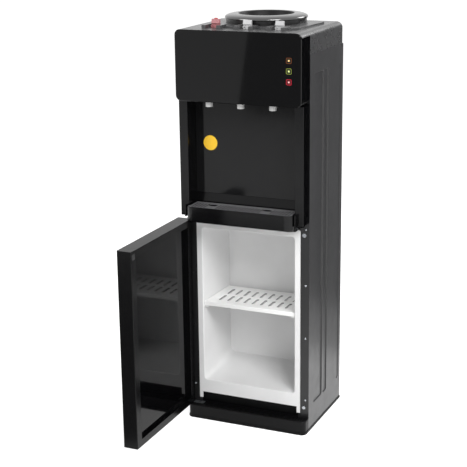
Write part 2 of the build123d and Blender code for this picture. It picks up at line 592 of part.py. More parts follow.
def key_axle():
    """Steel wire that the three keys turn on."""
    return along_x(AXLE_Y, AXLE_Z, AXLE_RADIUS, -TAP_PITCH - 18, TAP_PITCH + 18)


def child_lock():
    """Small slider on top of the hot key, with two grip ridges."""
    slider = block((-TAP_PITCH - 4, -TAP_PITCH + 4), (-91.6, -88.9), (PADDLE_TOP_Z, PADDLE_TOP_Z + 1.6))
    for x in (-TAP_PITCH - 2, -TAP_PITCH + 2):
        slider += block((x - 0.6, x + 0.6), (-91.6, -88.9), (PADDLE_TOP_Z + 1, PADDLE_TOP_Z + 2.4))
    return slider


ROD_LOW_Z = 853.0
ROD_TOP_Z = KEY_LOW_Z - 0.5
TAP_STUB_Y = -72.0


def push_rod(x):
    """Rod from the key down to the tap's valve, with a blunt tip and a spring collar."""
    rod = upright(x, ROD_Y, ROD_RADIUS, ROD_LOW_Z, ROD_TOP_Z)
    rod = chamfer(rod.edges().filter_by(lambda e: e.center().Z > ROD_TOP_Z - 1), 1)
    return rod + upright(x, ROD_Y, 5, 936, 938)


def tap(x):
    """Tap body: outlet nozzle, cross tube, valve tower bored for the rod, and a hose stub at the back."""
    nozzle = upright(x, TAP_Y, NOZZLE_RADIUS, NOZZLE_LOW_Z, 838)
    cross = along_y(x, 828, NOZZLE_RADIUS, TAP_Y, ROD_Y)
    tower = upright(x, ROD_Y, 9, 822, 866)
    stub = along_y(x, 828, 5, ROD_Y, TAP_STUB_Y)
    body = nozzle + cross + tower + stub
    body -= upright(x, ROD_Y, ROD_RADIUS + RUNNING, 845, 870)
    return body - upright(x, TAP_Y, 4.5, NOZZLE_LOW_Z - 1, NOZZLE_LOW_Z + 30)


# ---- bottle seat ----
def bottle_seat():
    """Domed collar with a funnel that leads to a spigot in the tank's neck."""
    outer = Line((SEAT_RADIUS - 9, BAND_TOP_Z), (SEAT_RADIUS, BAND_TOP_Z))
    dome = ThreePointArc((SEAT_RADIUS, BAND_TOP_Z), (SEAT_RADIUS - 12, SEAT_TOP_Z - 2.2),
                         (SEAT_MOUTH_RADIUS + 4, SEAT_TOP_Z))
    lip = ThreePointArc((SEAT_MOUTH_RADIUS + 4, SEAT_TOP_Z), (SEAT_MOUTH_RADIUS + 0.6, SEAT_TOP_Z - 1.4),
                        (SEAT_MOUTH_RADIUS, SEAT_TOP_Z - 5))
    funnel = Polyline((SEAT_MOUTH_RADIUS, SEAT_TOP_Z - 5), (41, 946), (SPIGOT_RADIUS - 3, 940),
                      (SPIGOT_RADIUS - 3, SPIGOT_LOW_Z), (SPIGOT_RADIUS, SPIGOT_LOW_Z), (SPIGOT_RADIUS, 937.5),
                      (43, 943.5), (SEAT_MOUTH_RADIUS + 3.5, SEAT_TOP_Z - 7), (SEAT_RADIUS - 9, BAND_TOP_Z + 2),
                      (SEAT_RADIUS - 9, BAND_TOP_Z))
    profile = make_face(Plane.XZ * (Curve() + [outer, dome, lip, funnel]))
    return Pos(0, SEAT_Y, 0) * revolve(profile, axis=Axis.Z)


def seat_band():
    """Black ring under the dome, standing on the platform."""
    ring = upright(0, SEAT_Y, BAND_RADIUS, PLATFORM_Z, BAND_TOP_Z)
    return ring - upright(0, SEAT_Y, BAND_RADIUS - 5, PLATFORM_Z - 1, BAND_TOP_Z + 1)


def water_probe():
    """Hollow spike that opens the bottle's cap, with four side windows and a flange in the spigot."""
    flange = upright(0, SEAT_Y, SPIGOT_RADIUS - 3, SPIGOT_LOW_Z, SPIGOT_LOW_Z + 4)
    tube = upright(0, SEAT_Y, 11, SPIGOT_LOW_Z, 968)
    tip = Pos(0, SEAT_Y, 973) * Cone(11, 5, 10)
    probe = flange + tube + tip
    probe -= upright(0, SEAT_Y, 8, SPIGOT_LOW_Z - 1, 964)
    for x, y in ((14, 3), (3, 14)):
        probe -= block((-x, x), (SEAT_Y - y, SEAT_Y + y), (946, 958))
    return probe


# ---- cooling ----
def cold_tank():
    """Stainless tank under the bottle seat, with an open neck, a feed stub and two outlet stubs."""
    tank = upright(0, SEAT_Y, TANK_RADIUS, TANK_LOW_Z, TANK_TOP_Z)
    tank = fillet(tank.edges().filter_by(GeomType.CIRCLE), 4)
    for x in (-16, 16):
        tank += along_y(x, 828, 5, -46, SEAT_Y - 40)
    tank += upright(-30, SEAT_Y, 5, TANK_LOW_Z - 24, TANK_LOW_Z + 6)
    tank -= upright(0, SEAT_Y, TANK_RADIUS - 2, TANK_LOW_Z + 2, TANK_TOP_Z - 2)
    return tank - upright(0, SEAT_Y, SPIGOT_RADIUS + 1, TANK_LOW_Z + 10, TANK_TOP_Z + 1)


def tank_jacket():
    """Moulded foam block round the cold tank."""
    jacket = block((-68, 68), (-42, 76), (UPPER_SHELF_Z, 934))
    jacket = fillet(edges_along(jacket, Axis.Z), 12)
    jacket -= upright(0, SEAT_Y, TANK_RADIUS + 0.3, TANK_LOW_Z - 0.3, 940)
    for x in (-16, 16):
        jacket -= along_y(x, 828, 5.3, -50, 0)
    jacket -= upright(-30, SEAT_Y, 5.5, UPPER_SHELF_Z - 1, TANK_LOW_Z + 1)
    return jacket - block((-20.5, 20.5), (60, 80), (829, 891))


def cold_block():
    """Aluminium block between the tank's back and the cooling module, hollowed to fit the tank."""
    body = block((-20, 20), (66, 86), (830, 890))
    return body - upright(0, SEAT_Y, TANK_RADIUS + 0.05, 820, 900)


def cooling_module():
    """Thermoelectric plate."""
    return block((-20, 20), (86, 89.5), (840, 880))


def heat_sink():
    """Finned aluminium heat sink."""
    sink = block((-45, 45), (89.5, 93), (815, 905))
    for number in range(13):
        x = -43 + number * 86 / 12
        sink += block((x - 0.8, x + 0.8), (92.5, FAN_Y), (815, 905))
    return sink


def fan_frame():
    """Square fan frame with four struts to a hub."""
    frame = rounded_plate(0, FAN_Z, FAN_SIZE, FAN_SIZE, 5, FAN_Y, FAN_Y + FAN_DEPTH)
    frame -= along_y(0, FAN_Z, 41.5, FAN_Y - 1, FAN_Y + FAN_DEPTH + 1)
    hub = along_y(0, FAN_Z, 15, FAN_Y, FAN_Y + 2)
    for angle in (45, 135):
        strut = Pos(0, FAN_Y + 1, FAN_Z) * Rot(0, angle, 0) * Box(88, 2, 4)
        frame += strut
    axle = along_y(0, FAN_Z, 1.5, FAN_Y, FAN_Y + FAN_DEPTH - 2)
    return frame + hub + axle


def fan_rotor():
    """Hub with seven pitched blades."""
    y0 = FAN_Y + 3
    y1 = FAN_Y + FAN_DEPTH - 1
    rotor = along_y(0, FAN_Z, 15, y0, y1)
    for number in range(7):
        blade = Pos(26, 0, 0) * Rot(32, 0, 0) * Box(26, 1.4, 15)
        rotor += Pos(0, (y0 + y1) / 2, FAN_Z) * Rot(0, number * 360 / 7, 0) * blade
    return rotor - along_y(0, FAN_Z, 1.5 + RUNNING, y0 - 1, FAN_Y + FAN_DEPTH - 2 + 0.3)


# ---- heating ----
def hot_tank():
    """Stainless boiler with feed, outlet and drain stubs."""
    tank = upright(HOT_X, HOT_Y, HOT_RADIUS, LOWER_SHELF_Z, HOT_TOP_Z)
    tank = fillet(tank.edges().filter_by(GeomType.CIRCLE), 8)
    tank += upright(-30, SEAT_Y, 5, HOT_TOP_Z - 6, HOT_TOP_Z + 8)
    tank += along_y(-TAP_PITCH, 722, 5, -14, 20)
    return tank + along_y(HOT_X, DRAIN_Z, 6, HOT_Y, REAR_PANEL_Y - 22)


def heater_band():
    """Mica heater clamped round the boiler, with its tightening lug."""
    band = upright(HOT_X, HOT_Y, HOT_RADIUS + 3, 656, 700)
    band += block((HOT_X + HOT_RADIUS - 2, HOT_X + HOT_RADIUS + 14), (HOT_Y - 5, HOT_Y + 5), (668, 688))
    return band - upright(HOT_X, HOT_Y, HOT_RADIUS, 650, 710)


def thermostats():
    """Two disc thermostats strapped to the boiler's wall."""
    discs = []
    for z in (640, 716):
        disc = along_x(HOT_Y, z, 9, HOT_X + HOT_RADIUS - 1, HOT_X + HOT_RADIUS + 8)
        discs.append(disc - upright(HOT_X, HOT_Y, HOT_RADIUS, z - 20, z + 20))
    return discs


def tank_shelf(z, front_y, holes):
    """Folded steel shelf between the side panels, holed where pipes pass."""
    inner = HALF_WIDTH - SHEET - 4
    sheet = block((-inner, inner), (front_y, REAR_PANEL_Y - 1), (z - SHEET, z))
    sheet += block((-inner, inner), (front_y, front_y + SHEET), (z - 14, z))
    for side in (-1, 1):
        ear = sorted((side * (HALF_WIDTH - SHEET), side * (inner - SHEET)))
        sheet += block(ear, (76, 96), (z - 14, z))
    for x, y, radius in holes:
        sheet -= upright(x, y, radius, z - 3, z + 1)
    return sheet


def power_supply():
    """Switched supply for the cooling module, in a ventilated case."""
    case = block((60, 130), (20, 110), (LOWER_SHELF_Z, LOWER_SHELF_Z + 44))
    for number in range(6):
        y = 34 + number * 12
        case -= block((70, 120), (y - 2, y + 2), (LOWER_SHELF_Z + 41, LOWER_SHELF_Z + 50))
    return case


def tube(points, radius, bend):
    """Hose along straight runs joined by tangent arcs."""
    path = FilletPolyline(*points, radius=bend)
    profile = Plane(origin=path @ 0, z_dir=path % 0) * Circle(radius)
    return sweep(profile, path=path)


def hoses():
    """Silicone hoses from the tanks to the three taps, and the feed from the cold tank to the boiler."""
    hot = tube([(-TAP_PITCH, TAP_STUB_Y, 828), (-TAP_PITCH, -53, 828), (-TAP_PITCH, -53, 722),
                (-TAP_PITCH, -14, 722)], 5, 12)
    room = tube([(0, TAP_STUB_Y, 828), (0, -64, 828), (-16, -53, 828), (-16, -46, 828)], 5, 4)
    cold = tube([(TAP_PITCH, TAP_STUB_Y, 828), (TAP_PITCH, -58, 828), (16, -58, 828), (16, -46, 828)], 5, 7)
    feed = upright(-30, SEAT_Y, 5, HOT_TOP_Z + 8, TANK_LOW_Z - 24)
    return [hot, room, cold, feed]


def drain_outlet():
    """Threaded drain spout fixed through the rear panel."""
    spout = along_y(HOT_X, DRAIN_Z, 9.5, REAR_PANEL_Y - 22, REAR_PANEL_Y + 12)
    flange = along_y(HOT_X, DRAIN_Z, 14, REAR_PANEL_Y + SHEET, REAR_PANEL_Y + SHEET + 2)
    return spout + flange - along_y(HOT_X, DRAIN_Z, 5, REAR_PANEL_Y - 10, REAR_PANEL_Y + 13)


def drain_cap():
    """Ribbed screw cap on the drain spout."""
    y0 = REAR_PANEL_Y + SHEET + 2.4
    cap = along_y(HOT_X, DRAIN_Z, 13, y0, REAR_PANEL_Y + 16)
    for number in range(12):
        angle = math.radians(number * 30)
        x = HOT_X + 13 * math.cos(angle)
        z = DRAIN_Z + 13 * math.sin(angle)
        cap += along_y(x, z, 1.3, y0, REAR_PANEL_Y + 16)
    return cap - along_y(HOT_X, DRAIN_Z, 9.5 + RUNNING, y0 - 1, REAR_PANEL_Y + 12.4)


# ---- door ----
def bracket_plate(z0, z1):
    """Outline of a hinge bracket, used for both brackets and for the pocket in the base."""
    plate = block((PIN_X - 4, PIN_X + 30), (PIN_Y - 6, STEEL_Y + 2), (z0, z1))
    return fillet(edges_along(plate, Axis.Z, Y=(-200, PIN_Y)), 4)


def hinge_bracket_bottom():
    """Bracket let into the base deck, with its riveted pin pointing up."""
    pin = upright(PIN_X, PIN_Y, PIN_RADIUS, BASE_TOP_Z - WALL, DOOR_LOW_Z + PIN_DEPTH - 1)
    return bracket_plate(BASE_TOP_Z - WALL, BASE_TOP_Z) + pin


def hinge_bracket_top():
    """Bracket under the fascia's deck, with its riveted pin pointing down."""
    plate = block((PIN_X - 4, PIN_X + 30), (PIN_Y - 6, STEEL_Y), (DOOR_HIGH_Z + 1, FASCIA_LOW_Z))
    plate = fillet(edges_along(plate, Axis.Z, Y=(-200, PIN_Y)), 4)
    return plate + upright(PIN_X, PIN_Y, PIN_RADIUS, DOOR_HIGH_Z - PIN_DEPTH + 1, FASCIA_LOW_Z)


def opened(shape):
    """Turn a piece of the closed door open by a right angle about the hinge pin."""
    return Pos(PIN_X, PIN_Y, 0) * Rot(0, 0, -90) * Pos(-PIN_X, -PIN_Y, 0) * shape


DOOR_MIDDLE_X = DOOR_LEFT_X + DOOR_WIDTH / 2
DOOR_MIDDLE_Z = (DOOR_LOW_Z + DOOR_HIGH_Z) / 2
POCKET_WIDTH = DOOR_WIDTH - 2 * DOOR_SIDE_RIM
POCKET_HEIGHT = DOOR_HIGH_Z - DOOR_LOW_Z - 2 * DOOR_END_RIM
MAGNET_SIZE = 13.0


def door_shell():
    """Door body with a deep pocket on its inner face, pin holes and a magnet seat."""
    shell = block((DOOR_LEFT_X, DOOR_LEFT_X + DOOR_WIDTH), (DOOR_INNER_Y - DOOR_THICK, DOOR_INNER_Y),
                  (DOOR_LOW_Z, DOOR_HIGH_Z))
    shell = fillet(edges_along(shell, Axis.Z), 1.5)
    shell -= rounded_plate(DOOR_MIDDLE_X, DOOR_MIDDLE_Z, POCKET_WIDTH, POCKET_HEIGHT, 3,
                           DOOR_INNER_Y - DOOR_POCKET, DOOR_INNER_Y + 1)
    for z0, z1 in ((DOOR_LOW_Z - 1, DOOR_LOW_Z + PIN_DEPTH), (DOOR_HIGH_Z - PIN_DEPTH, DOOR_HIGH_Z + 1)):
        shell -= upright(PIN_X, PIN_Y, PIN_RADIUS + RUNNING, z0, z1)
    half = MAGNET_SIZE / 2
    shell -= block((STRIKE_X - half, STRIKE_X + half), (DOOR_INNER_Y - 5, DOOR_INNER_Y + 1),
                   (STRIKE_Z - half, STRIKE_Z + half))
    return opened(shell)


def door_panel():
    """Glossy plate at the bottom of the door's pocket."""
    plate = rounded_plate(DOOR_MIDDLE_X, DOOR_MIDDLE_Z, POCKET_WIDTH - 0.4, POCKET_HEIGHT - 0.4, 2.8,
                          DOOR_INNER_Y - DOOR_POCKET, DOOR_INNER_Y - DOOR_POCKET + 3)
    return opened(plate)


def door_magnet():
    """Magnet let into the free edge of the door's rim."""
    half = MAGNET_SIZE / 2
    magnet = block((STRIKE_X - half, STRIKE_X + half), (DOOR_INNER_Y - 5, DOOR_INNER_Y),
                   (STRIKE_Z - half, STRIKE_Z + half))
    return opened(magnet)


# ---- all pieces, by the name of the file each one goes to ----
def build_pieces():
    """Every piece of the machine, by name."""
    upper_holes = ((-30, SEAT_Y, 8),)
    pieces = {
        "base_pan": base_pan(),
        "kick_plate": kick_plate(),
        "side_panel_left": side_panel_left(),
        "side_panel_right": side_panel_right(),
        "jamb_screws": jamb_screws(),
        "strike_plate": strike_plate(),
        "door_buffer": door_buffer(),
        "front_rail": front_rail(),
        "rear_panel": rear_panel(),
        "cord_gland": cord_gland(),
        "switch_frame": switch_frame(),
        "rocker_heating": rocker(1),
        "rocker_cooling": rocker(-1),
        "cabinet_liner": cabinet_liner(),
        "cabinet_shelf": cabinet_shelf(),
        "front_fascia": front_fascia(),
        "alcove_panel": alcove_panel(),
        "drip_tray": drip_tray(),
        "drip_grille": drip_grille(),
        "head_housing": head_housing(),
        "head_panel": head_panel(),
        "top_cover": top_cover(),
        "key_axle": key_axle(),
        "child_lock": child_lock(),
        "bottle_seat": bottle_seat(),
        "seat_band": seat_band(),
        "water_probe": water_probe(),
        "cold_tank": cold_tank(),
        "tank_jacket": tank_jacket(),
        "cold_block": cold_block(),
        "cooling_module": cooling_module(),
        "heat_sink": heat_sink(),
        "fan_frame": fan_frame(),
        "fan_rotor": fan_rotor(),
        "hot_tank": hot_tank(),
        "heater_band": heater_band(),
        "thermostats": thermostats(),
        "tank_shelf_upper": tank_shelf(UPPER_SHELF_Z, -40, upper_holes),
        "tank_shelf_lower": tank_shelf(LOWER_SHELF_Z, -80, ()),
        "power_supply": power_supply(),
        "hoses": hoses(),
        "drain_outlet": drain_outlet(),
        "drain_cap": drain_cap(),
        "hinge_bracket_bottom": hinge_bracket_bottom(),
        "hinge_bracket_top": hinge_bracket_top(),
        "door_shell": door_shell(),
        "door_panel": door_panel(),
        "door_magnet": door_magnet(),
    }
    for name, x in (("hot", -TAP_PITCH), ("room", 0.0), ("cold", TAP_PITCH)):
        pieces["key_" + name] = key(x)
        pieces["push_rod_" + name] = push_rod(x)
        pieces["tap_" + name] = tap(x)
    for name, z in LENS_Z.items():
        pieces[name] = lens(z)
    return pieces


def main():
    """Write one STEP file for each piece."""
    os.makedirs("parts", exist_ok=True)
    for name, shape in build_pieces().items():
        solids = shape if isinstance(shape, list) else [shape]
        export_step(Compound(children=[s for item in solids for s in item.solids()]), f"parts/{name}.step")


main()
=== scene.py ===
"""Finishes, small parts and studio for a free-standing water dispenser with a bottle seat on top
and a storage cabinet below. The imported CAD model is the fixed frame; every piece is in metres."""
import math

import bmesh
import bpy
from mathutils import Euler, Matrix, Vector


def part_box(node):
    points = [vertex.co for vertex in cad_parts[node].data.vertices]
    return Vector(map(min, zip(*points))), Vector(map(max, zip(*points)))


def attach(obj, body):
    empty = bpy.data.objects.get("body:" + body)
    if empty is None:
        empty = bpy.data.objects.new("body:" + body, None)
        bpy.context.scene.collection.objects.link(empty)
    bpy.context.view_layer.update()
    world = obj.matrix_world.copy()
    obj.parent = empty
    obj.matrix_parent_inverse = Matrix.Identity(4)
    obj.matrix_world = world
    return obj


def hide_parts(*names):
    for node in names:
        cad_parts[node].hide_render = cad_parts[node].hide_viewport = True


bl_info = {
    "name": "Water dispenser finishes",
    "version": (1, 0, 0),
    "blender": (4, 5, 0),
    "location": "3D View > Sidebar > Dispenser",
    "description": "Materials, small parts, studio and camera for a bottle-top water dispenser",
    "category": "Object",
}

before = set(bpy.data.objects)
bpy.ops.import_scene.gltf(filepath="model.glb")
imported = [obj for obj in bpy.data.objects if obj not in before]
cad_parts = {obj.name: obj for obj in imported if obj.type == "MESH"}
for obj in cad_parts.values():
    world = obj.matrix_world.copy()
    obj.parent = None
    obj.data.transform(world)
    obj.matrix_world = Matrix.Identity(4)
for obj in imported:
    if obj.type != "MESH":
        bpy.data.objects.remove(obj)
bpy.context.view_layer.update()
MM = 0.001
NOISE_REACH = (0.3, 0.7)       # nearly all values of a noise texture lie between these
MIX_LOW, MIX_HIGH, MIX_RESULT = 6, 7, 2       # the colour sockets of a Mix node
SAME_POINT = 0.01 * MM         # points nearer than this are one
SEAT_LOW, SEAT_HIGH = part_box("bottle_seat")
SEAT_CENTRE = (SEAT_LOW + SEAT_HIGH) / 2


# ---- small helpers ----
def linear(code):
    """sRGB hex code to a linear colour."""
    parts = [int(code[i:i + 2], 16) / 255 for i in (1, 3, 5)]
    return tuple(c / 12.92 if c <= 0.04045 else ((c + 0.055) / 1.055) ** 2.4 for c in parts)


def put(tree, kind, inputs=None, **settings):
    """Adds one node. settings are its own properties; inputs are socket values or sockets that
    feed it."""
    made = tree.nodes.new(kind)
    for name, value in settings.items():
        setattr(made, name, value)
    for key, value in (inputs or {}).items():
        if isinstance(value, bpy.types.NodeSocket):
            tree.links.new(value, made.inputs[key])
        else:
            made.inputs[key].default_value = value
    return made


# ---- shapes grown by geometry nodes ----
def empty_tree(name):
    """A geometry node tree with its mesh going in and coming out."""
    tree = bpy.data.node_groups.new(name, "GeometryNodeTree")
    tree.interface.new_socket("Mesh", in_out="INPUT", socket_type="NodeSocketGeometry")
    tree.interface.new_socket("Mesh", in_out="OUTPUT", socket_type="NodeSocketGeometry")
    return tree


def ask(tree, **kinds):
    """Named inputs of a geometry node tree; gives the identifiers that a modifier sets them by."""
    return {name: tree.interface.new_socket(name, in_out="INPUT",
                                            socket_type="NodeSocket" + kind).identifier
            for name, kind in kinds.items()}


def end_tree(tree, shape, incoming):
    """Ends a tree in real faces that carry the material it was asked for."""
    real = put(tree, "GeometryNodeRealizeInstances", {"Geometry": shape})
    painted = put(tree, "GeometryNodeSetMaterial",
                  {"Geometry": real.outputs[0], "Material": incoming.outputs["material"]})
    put(tree, "NodeGroupOutput", {0: painted.outputs[0]})


def grow(name, start, tree, identifiers, **values):
    """Runs a tree on a start mesh and keeps the result as a plain mesh in an object."""
    made = bpy.data.objects.new(name, start)
    bpy.context.scene.collection.objects.link(made)
    modifier = made.modifiers.new("shape", "NODES")
    modifier.node_group = tree
    for key, value in values.items():
        modifier[identifiers[key]] = value
    graph = bpy.context.evaluated_depsgraph_get()
    mesh = bpy.data.meshes.new_from_object(made.evaluated_get(graph), depsgraph=graph)
    made.modifiers.remove(modifier)
    made.data = mesh
    return made


def turned_shape():
    """Tree that spins a closed outline round an upright axis; x is outward of the ring, y down."""
    tree = empty_tree("turned_shape")
    names = ask(tree, ring_radius="Float", facets="Int", centre="Vector", material="Material")
    incoming = put(tree, "NodeGroupInput")
    outline = put(tree, "GeometryNodeMeshToCurve", {"Mesh": incoming.outputs["Mesh"]})
    ring = put(tree, "GeometryNodeCurvePrimitiveCircle",
               {"Resolution": incoming.outputs["facets"],
                "Radius": incoming.outputs["ring_radius"]})
    spun = put(tree, "GeometryNodeCurveToMesh",
               {"Curve": ring.outputs[0], "Profile Curve": outline.outputs[0]})
    placed = put(tree, "GeometryNodeTransform",
                 {"Geometry": spun.outputs[0], "Translation": incoming.outputs["centre"]})
    smooth = put(tree, "GeometryNodeSetShadeSmooth", {"Geometry": placed.outputs[0]})
    end_tree(tree, smooth.outputs[0], incoming)
    return tree, names


def cross_screws():
    """Tree that sets a pan head with a cross recess on every point, each turned by its own amount.
    Every recess bar is as long as the head's radius and sunk by half the head's height."""
    tree = empty_tree("cross_screws")
    names = ask(tree, head_radius="Float", head_height="Float", recess_width="Float", seed="Int",
                facing="Rotation", material="Material")
    incoming = put(tree, "NodeGroupInput")
    radius, height, width = [incoming.outputs[key]
                             for key in ("head_radius", "head_height", "recess_width")]
    ball = put(tree, "GeometryNodeMeshUVSphere", {"Segments": 20, "Rings": 10, "Radius": 1.0})
    span = put(tree, "ShaderNodeCombineXYZ", {"X": radius, "Y": radius, "Z": height})
    head = put(tree, "GeometryNodeTransform",
               {"Geometry": ball.outputs["Mesh"], "Scale": span.outputs[0]}).outputs[0]
    top = put(tree, "ShaderNodeCombineXYZ", {"Z": height})
    for long_side, short_side in (("X", "Y"), ("Y", "X")):
        size = put(tree, "ShaderNodeCombineXYZ",
                   {long_side: radius, short_side: width, "Z": height})
        bar = put(tree, "GeometryNodeMeshCube", {"Size": size.outputs[0]})
        raised = put(tree, "GeometryNodeTransform",
                     {"Geometry": bar.outputs["Mesh"], "Translation": top.outputs[0]})
        head = put(tree, "GeometryNodeMeshBoolean", {"Mesh 1": head, "Mesh 2": raised.outputs[0]},
                   operation="DIFFERENCE").outputs["Mesh"]
    placed = put(tree, "GeometryNodeInstanceOnPoints",
                 {"Points": incoming.outputs["Mesh"], "Instance": head,
                  "Rotation": incoming.outputs["facing"]})
    angle = put(tree, "FunctionNodeRandomValue",
                {"Min": (0, 0, 0), "Max": (0, 0, math.tau), "Seed": incoming.outputs["seed"]},
                data_type="FLOAT_VECTOR")
    turn = put(tree, "FunctionNodeEulerToRotation", {"Euler": angle.outputs["Value"]})
    turned = put(tree, "GeometryNodeRotateInstances",
                 {"Instances": placed.outputs[0], "Rotation": turn.outputs[0]})
    end_tree(tree, turned.outputs[0], incoming)
    return tree, names


# ---- finishes ----
def start_material(name, **sockets):
    """A material with one Principled shader whose constant sockets are set; gives the material, its
    tree and the shader."""
    made = bpy.data.materials.new(name)
    made.use_nodes = True
    tree = made.node_tree
    shader = next(n for n in tree.nodes if n.type == "BSDF_PRINCIPLED")
    for key, value in sockets.items():
        shader.inputs[key.replace("_", " ")].default_value = value
    return made, tree, shader


def feed(tree, shader, **sockets):
    """Links sockets to the shader's inputs of those names."""
    for key, socket in sockets.items():
        tree.links.new(socket, shader.inputs[key.replace("_", " ")])


def noise(tree, size_mm, detail=2.0, stretch=(1, 1, 1)):
    """Noise on Object coordinates whose cells are size_mm wide. Most finishes vary their tint and
    gloss over centimetres, as a real part does; their grain is narrow."""
    where = put(tree, "ShaderNodeTexCoord").outputs["Object"]
    if stretch != (1, 1, 1):
        where = put(tree, "ShaderNodeMapping", {"Vector": where, "Scale": stretch}).outputs[0]
    return put(tree, "ShaderNodeTexNoise",
               {"Vector": where, "Scale": 1 / (size_mm * MM), "Detail": detail}).outputs["Fac"]


def ranged(tree, fac, low, high):
    """The factor spread from low to high."""
    return put(tree, "ShaderNodeMapRange",
               {"Value": fac, "From Min": NOISE_REACH[0], "From Max": NOISE_REACH[1],
                "To Min": low, "To Max": high}).outputs["Result"]


def blended(tree, fac, low, high):
    """Colour low where the factor is 0, high where it is 1; either may be a socket."""
    mix = put(tree, "ShaderNodeMix", {"Factor": fac}, data_type="RGBA")
    for place, colour in ((MIX_LOW, low), (MIX_HIGH, high)):
        if isinstance(colour, bpy.types.NodeSocket):
            tree.links.new(colour, mix.inputs[place])
        else:
            mix.inputs[place].default_value = (*colour, 1)
    return mix.outputs[MIX_RESULT]


def tinted(tree, fac, colour, spread):
    """The colour varied by a small share either way."""
    return blended(tree, ranged(tree, fac, 0, 1), [c * (1 - spread) for c in colour],
                   [min(1, c * (1 + spread)) for c in colour])


def facing(tree, axis, sense):
    """1 on faces that look along an axis in the given sense (1 or -1), 0 on the others."""
    normal = put(tree, "ShaderNodeTexCoord").outputs["Normal"]
    part = put(tree, "ShaderNodeSeparateXYZ", {"Vector": normal})
    along = put(tree, "ShaderNodeMath", {0: part.outputs[axis], 1: sense}, operation="MULTIPLY")
    return put(tree, "ShaderNodeMath", {0: along.outputs[0], 1: 0.5},
               operation="GREATER_THAN").outputs[0]


def bumped(tree, shader, height, depth_mm):
    """Feeds the shader's normal from a height; depth_mm is how far a height of 1 stands proud."""
    made = put(tree, "ShaderNodeBump",
               {"Height": height, "Strength": 1.0, "Distance": depth_mm * MM})
    feed(tree, shader, Normal=made.outputs["Normal"])


def moulded_plastic(name, colour, roughness, grain_mm=0.0, wave_mm=0.0, ior=1.5, spread=0.05):
    """Injection-moulded ABS. grain_mm is the spark texture of the tool, drawn no finer than a
    render shows; wave_mm is the slow unevenness of a polished moulding that makes its reflections
    swim. An ior under 1.5 stands for a surface whose reflections are weaker in the photograph than
    bare ABS gives from this camera, one over 1.5 for a surface whose reflections are stronger."""
    made, tree, shader = start_material(name, IOR=ior)
    feed(tree, shader, Base_Color=tinted(tree, noise(tree, 55), colour, spread),
         Roughness=ranged(tree, noise(tree, 18), roughness * 0.9, roughness * 1.12))
    if grain_mm:
        bumped(tree, shader, noise(tree, grain_mm, 1.0), 0.03)
    elif wave_mm:
        bumped(tree, shader, noise(tree, 40, 0.0), wave_mm)
    return made


def grille_plate_painted_reflection(name, face, core):
    """Black ABS plate whose upward faces are painted grey: a painted reflection of the bright
    surround; the holes through it show the black.
    """
    made, tree, shader = start_material(name, IOR=1.5)
    # the grey on faces that look up is the painted reflection
    top = tinted(tree, noise(tree, 12), face, 0.08)
    feed(tree, shader, Base_Color=blended(tree, facing(tree, "Z", 1), core, top),
         Roughness=ranged(tree, noise(tree, 6), 0.26, 0.36))
    bumped(tree, shader, noise(tree, 1.2, 1.0), 0.02)
    return made


def slotted_polystyrene(name, colour, slot_shade, behind, above):
    """White moulded polystyrene whose slot walls, the faces behind and above the two given planes
    that do not look up, are painted grey: painted shade in the slots."""
    made, tree, shader = start_material(name, IOR=1.5)
    where = put(tree, "ShaderNodeTexCoord").outputs["Object"]
    place = put(tree, "ShaderNodeSeparateXYZ", {"Vector": where})
    back = put(tree, "ShaderNodeMath", {0: place.outputs["Y"], 1: behind}, operation="GREATER_THAN")
    high = put(tree, "ShaderNodeMath", {0: place.outputs["Z"], 1: above}, operation="GREATER_THAN")
    plate = put(tree, "ShaderNodeMath", {0: back.outputs[0], 1: high.outputs[0]},
                operation="MULTIPLY")
    # faces behind the lip and above the plane that do not look up are the slot walls; their grey is
    # painted shade
    painted_slot_shade = put(tree, "ShaderNodeMath", {0: plate.outputs[0], 1: facing(tree, "Z", 1)},
              operation="SUBTRACT", use_clamp=True)
    skin = tinted(tree, noise(tree, 55), colour, 0.02)
    feed(tree, shader, Base_Color=blended(tree, painted_slot_shade.outputs[0], skin, slot_shade),
         Roughness=ranged(tree, noise(tree, 18), 0.29, 0.36))
    bumped(tree, shader, noise(tree, 40, 0.0), 0.03)
    return made


def acrylic_sheet(name, colour, roughness, ior):
    """PMMA sheet with a dark backing: flat and deep, with a trace of handling haze in its gloss.
    Real PMMA has an ior of 1.49; it is set lower, since the photograph's reflections are weaker."""
    made, tree, shader = start_material(name, IOR=ior)
    feed(tree, shader, Base_Color=tinted(tree, noise(tree, 90), colour, 0.04),
         Roughness=ranged(tree, noise(tree, 25), roughness * 0.8, roughness * 1.4))
    return made


def powder_coat(name, colour, front, roughness):
    """Dark powder coat on steel sheet: satin sheen over fine orange peel, drawn 1.6 mm across to
    show. The folded front returns take a darker colour than the sides: painted shade."""
    made, tree, shader = start_material(name, IOR=1.5)
    side = tinted(tree, noise(tree, 70), colour, 0.06)
    # faces that look forward get the darker front colour: painted shade on the front returns
    feed(tree, shader, Base_Color=blended(tree, facing(tree, "Y", -1), side, front),
         Roughness=ranged(tree, noise(tree, 30), roughness * 0.92, roughness * 1.1))
    bumped(tree, shader, noise(tree, 1.6, 1.0), 0.012)
    return made


def formed_sheet(name, colour, roughness):
    """Vacuum-formed white polystyrene: satin, with the slow ripple of a stretched sheet."""
    made, tree, shader = start_material(name, IOR=1.55)
    feed(tree, shader, Base_Color=tinted(tree, noise(tree, 60), colour, 0.02),
         Roughness=ranged(tree, noise(tree, 20), roughness * 0.9, roughness * 1.15))
    bumped(tree, shader, noise(tree, 24, 1.0), 0.12)
    return made


def plated_steel(name, colour, roughness):
    """Zinc plate or drawn wire: grey metal with a faint clouded passivation."""
    made, tree, shader = start_material(name, Metallic=1.0)
    feed(tree, shader, Base_Color=tinted(tree, noise(tree, 3), colour, 0.1),
         Roughness=ranged(tree, noise(tree, 1.5), roughness * 0.8, roughness * 1.3))
    return made


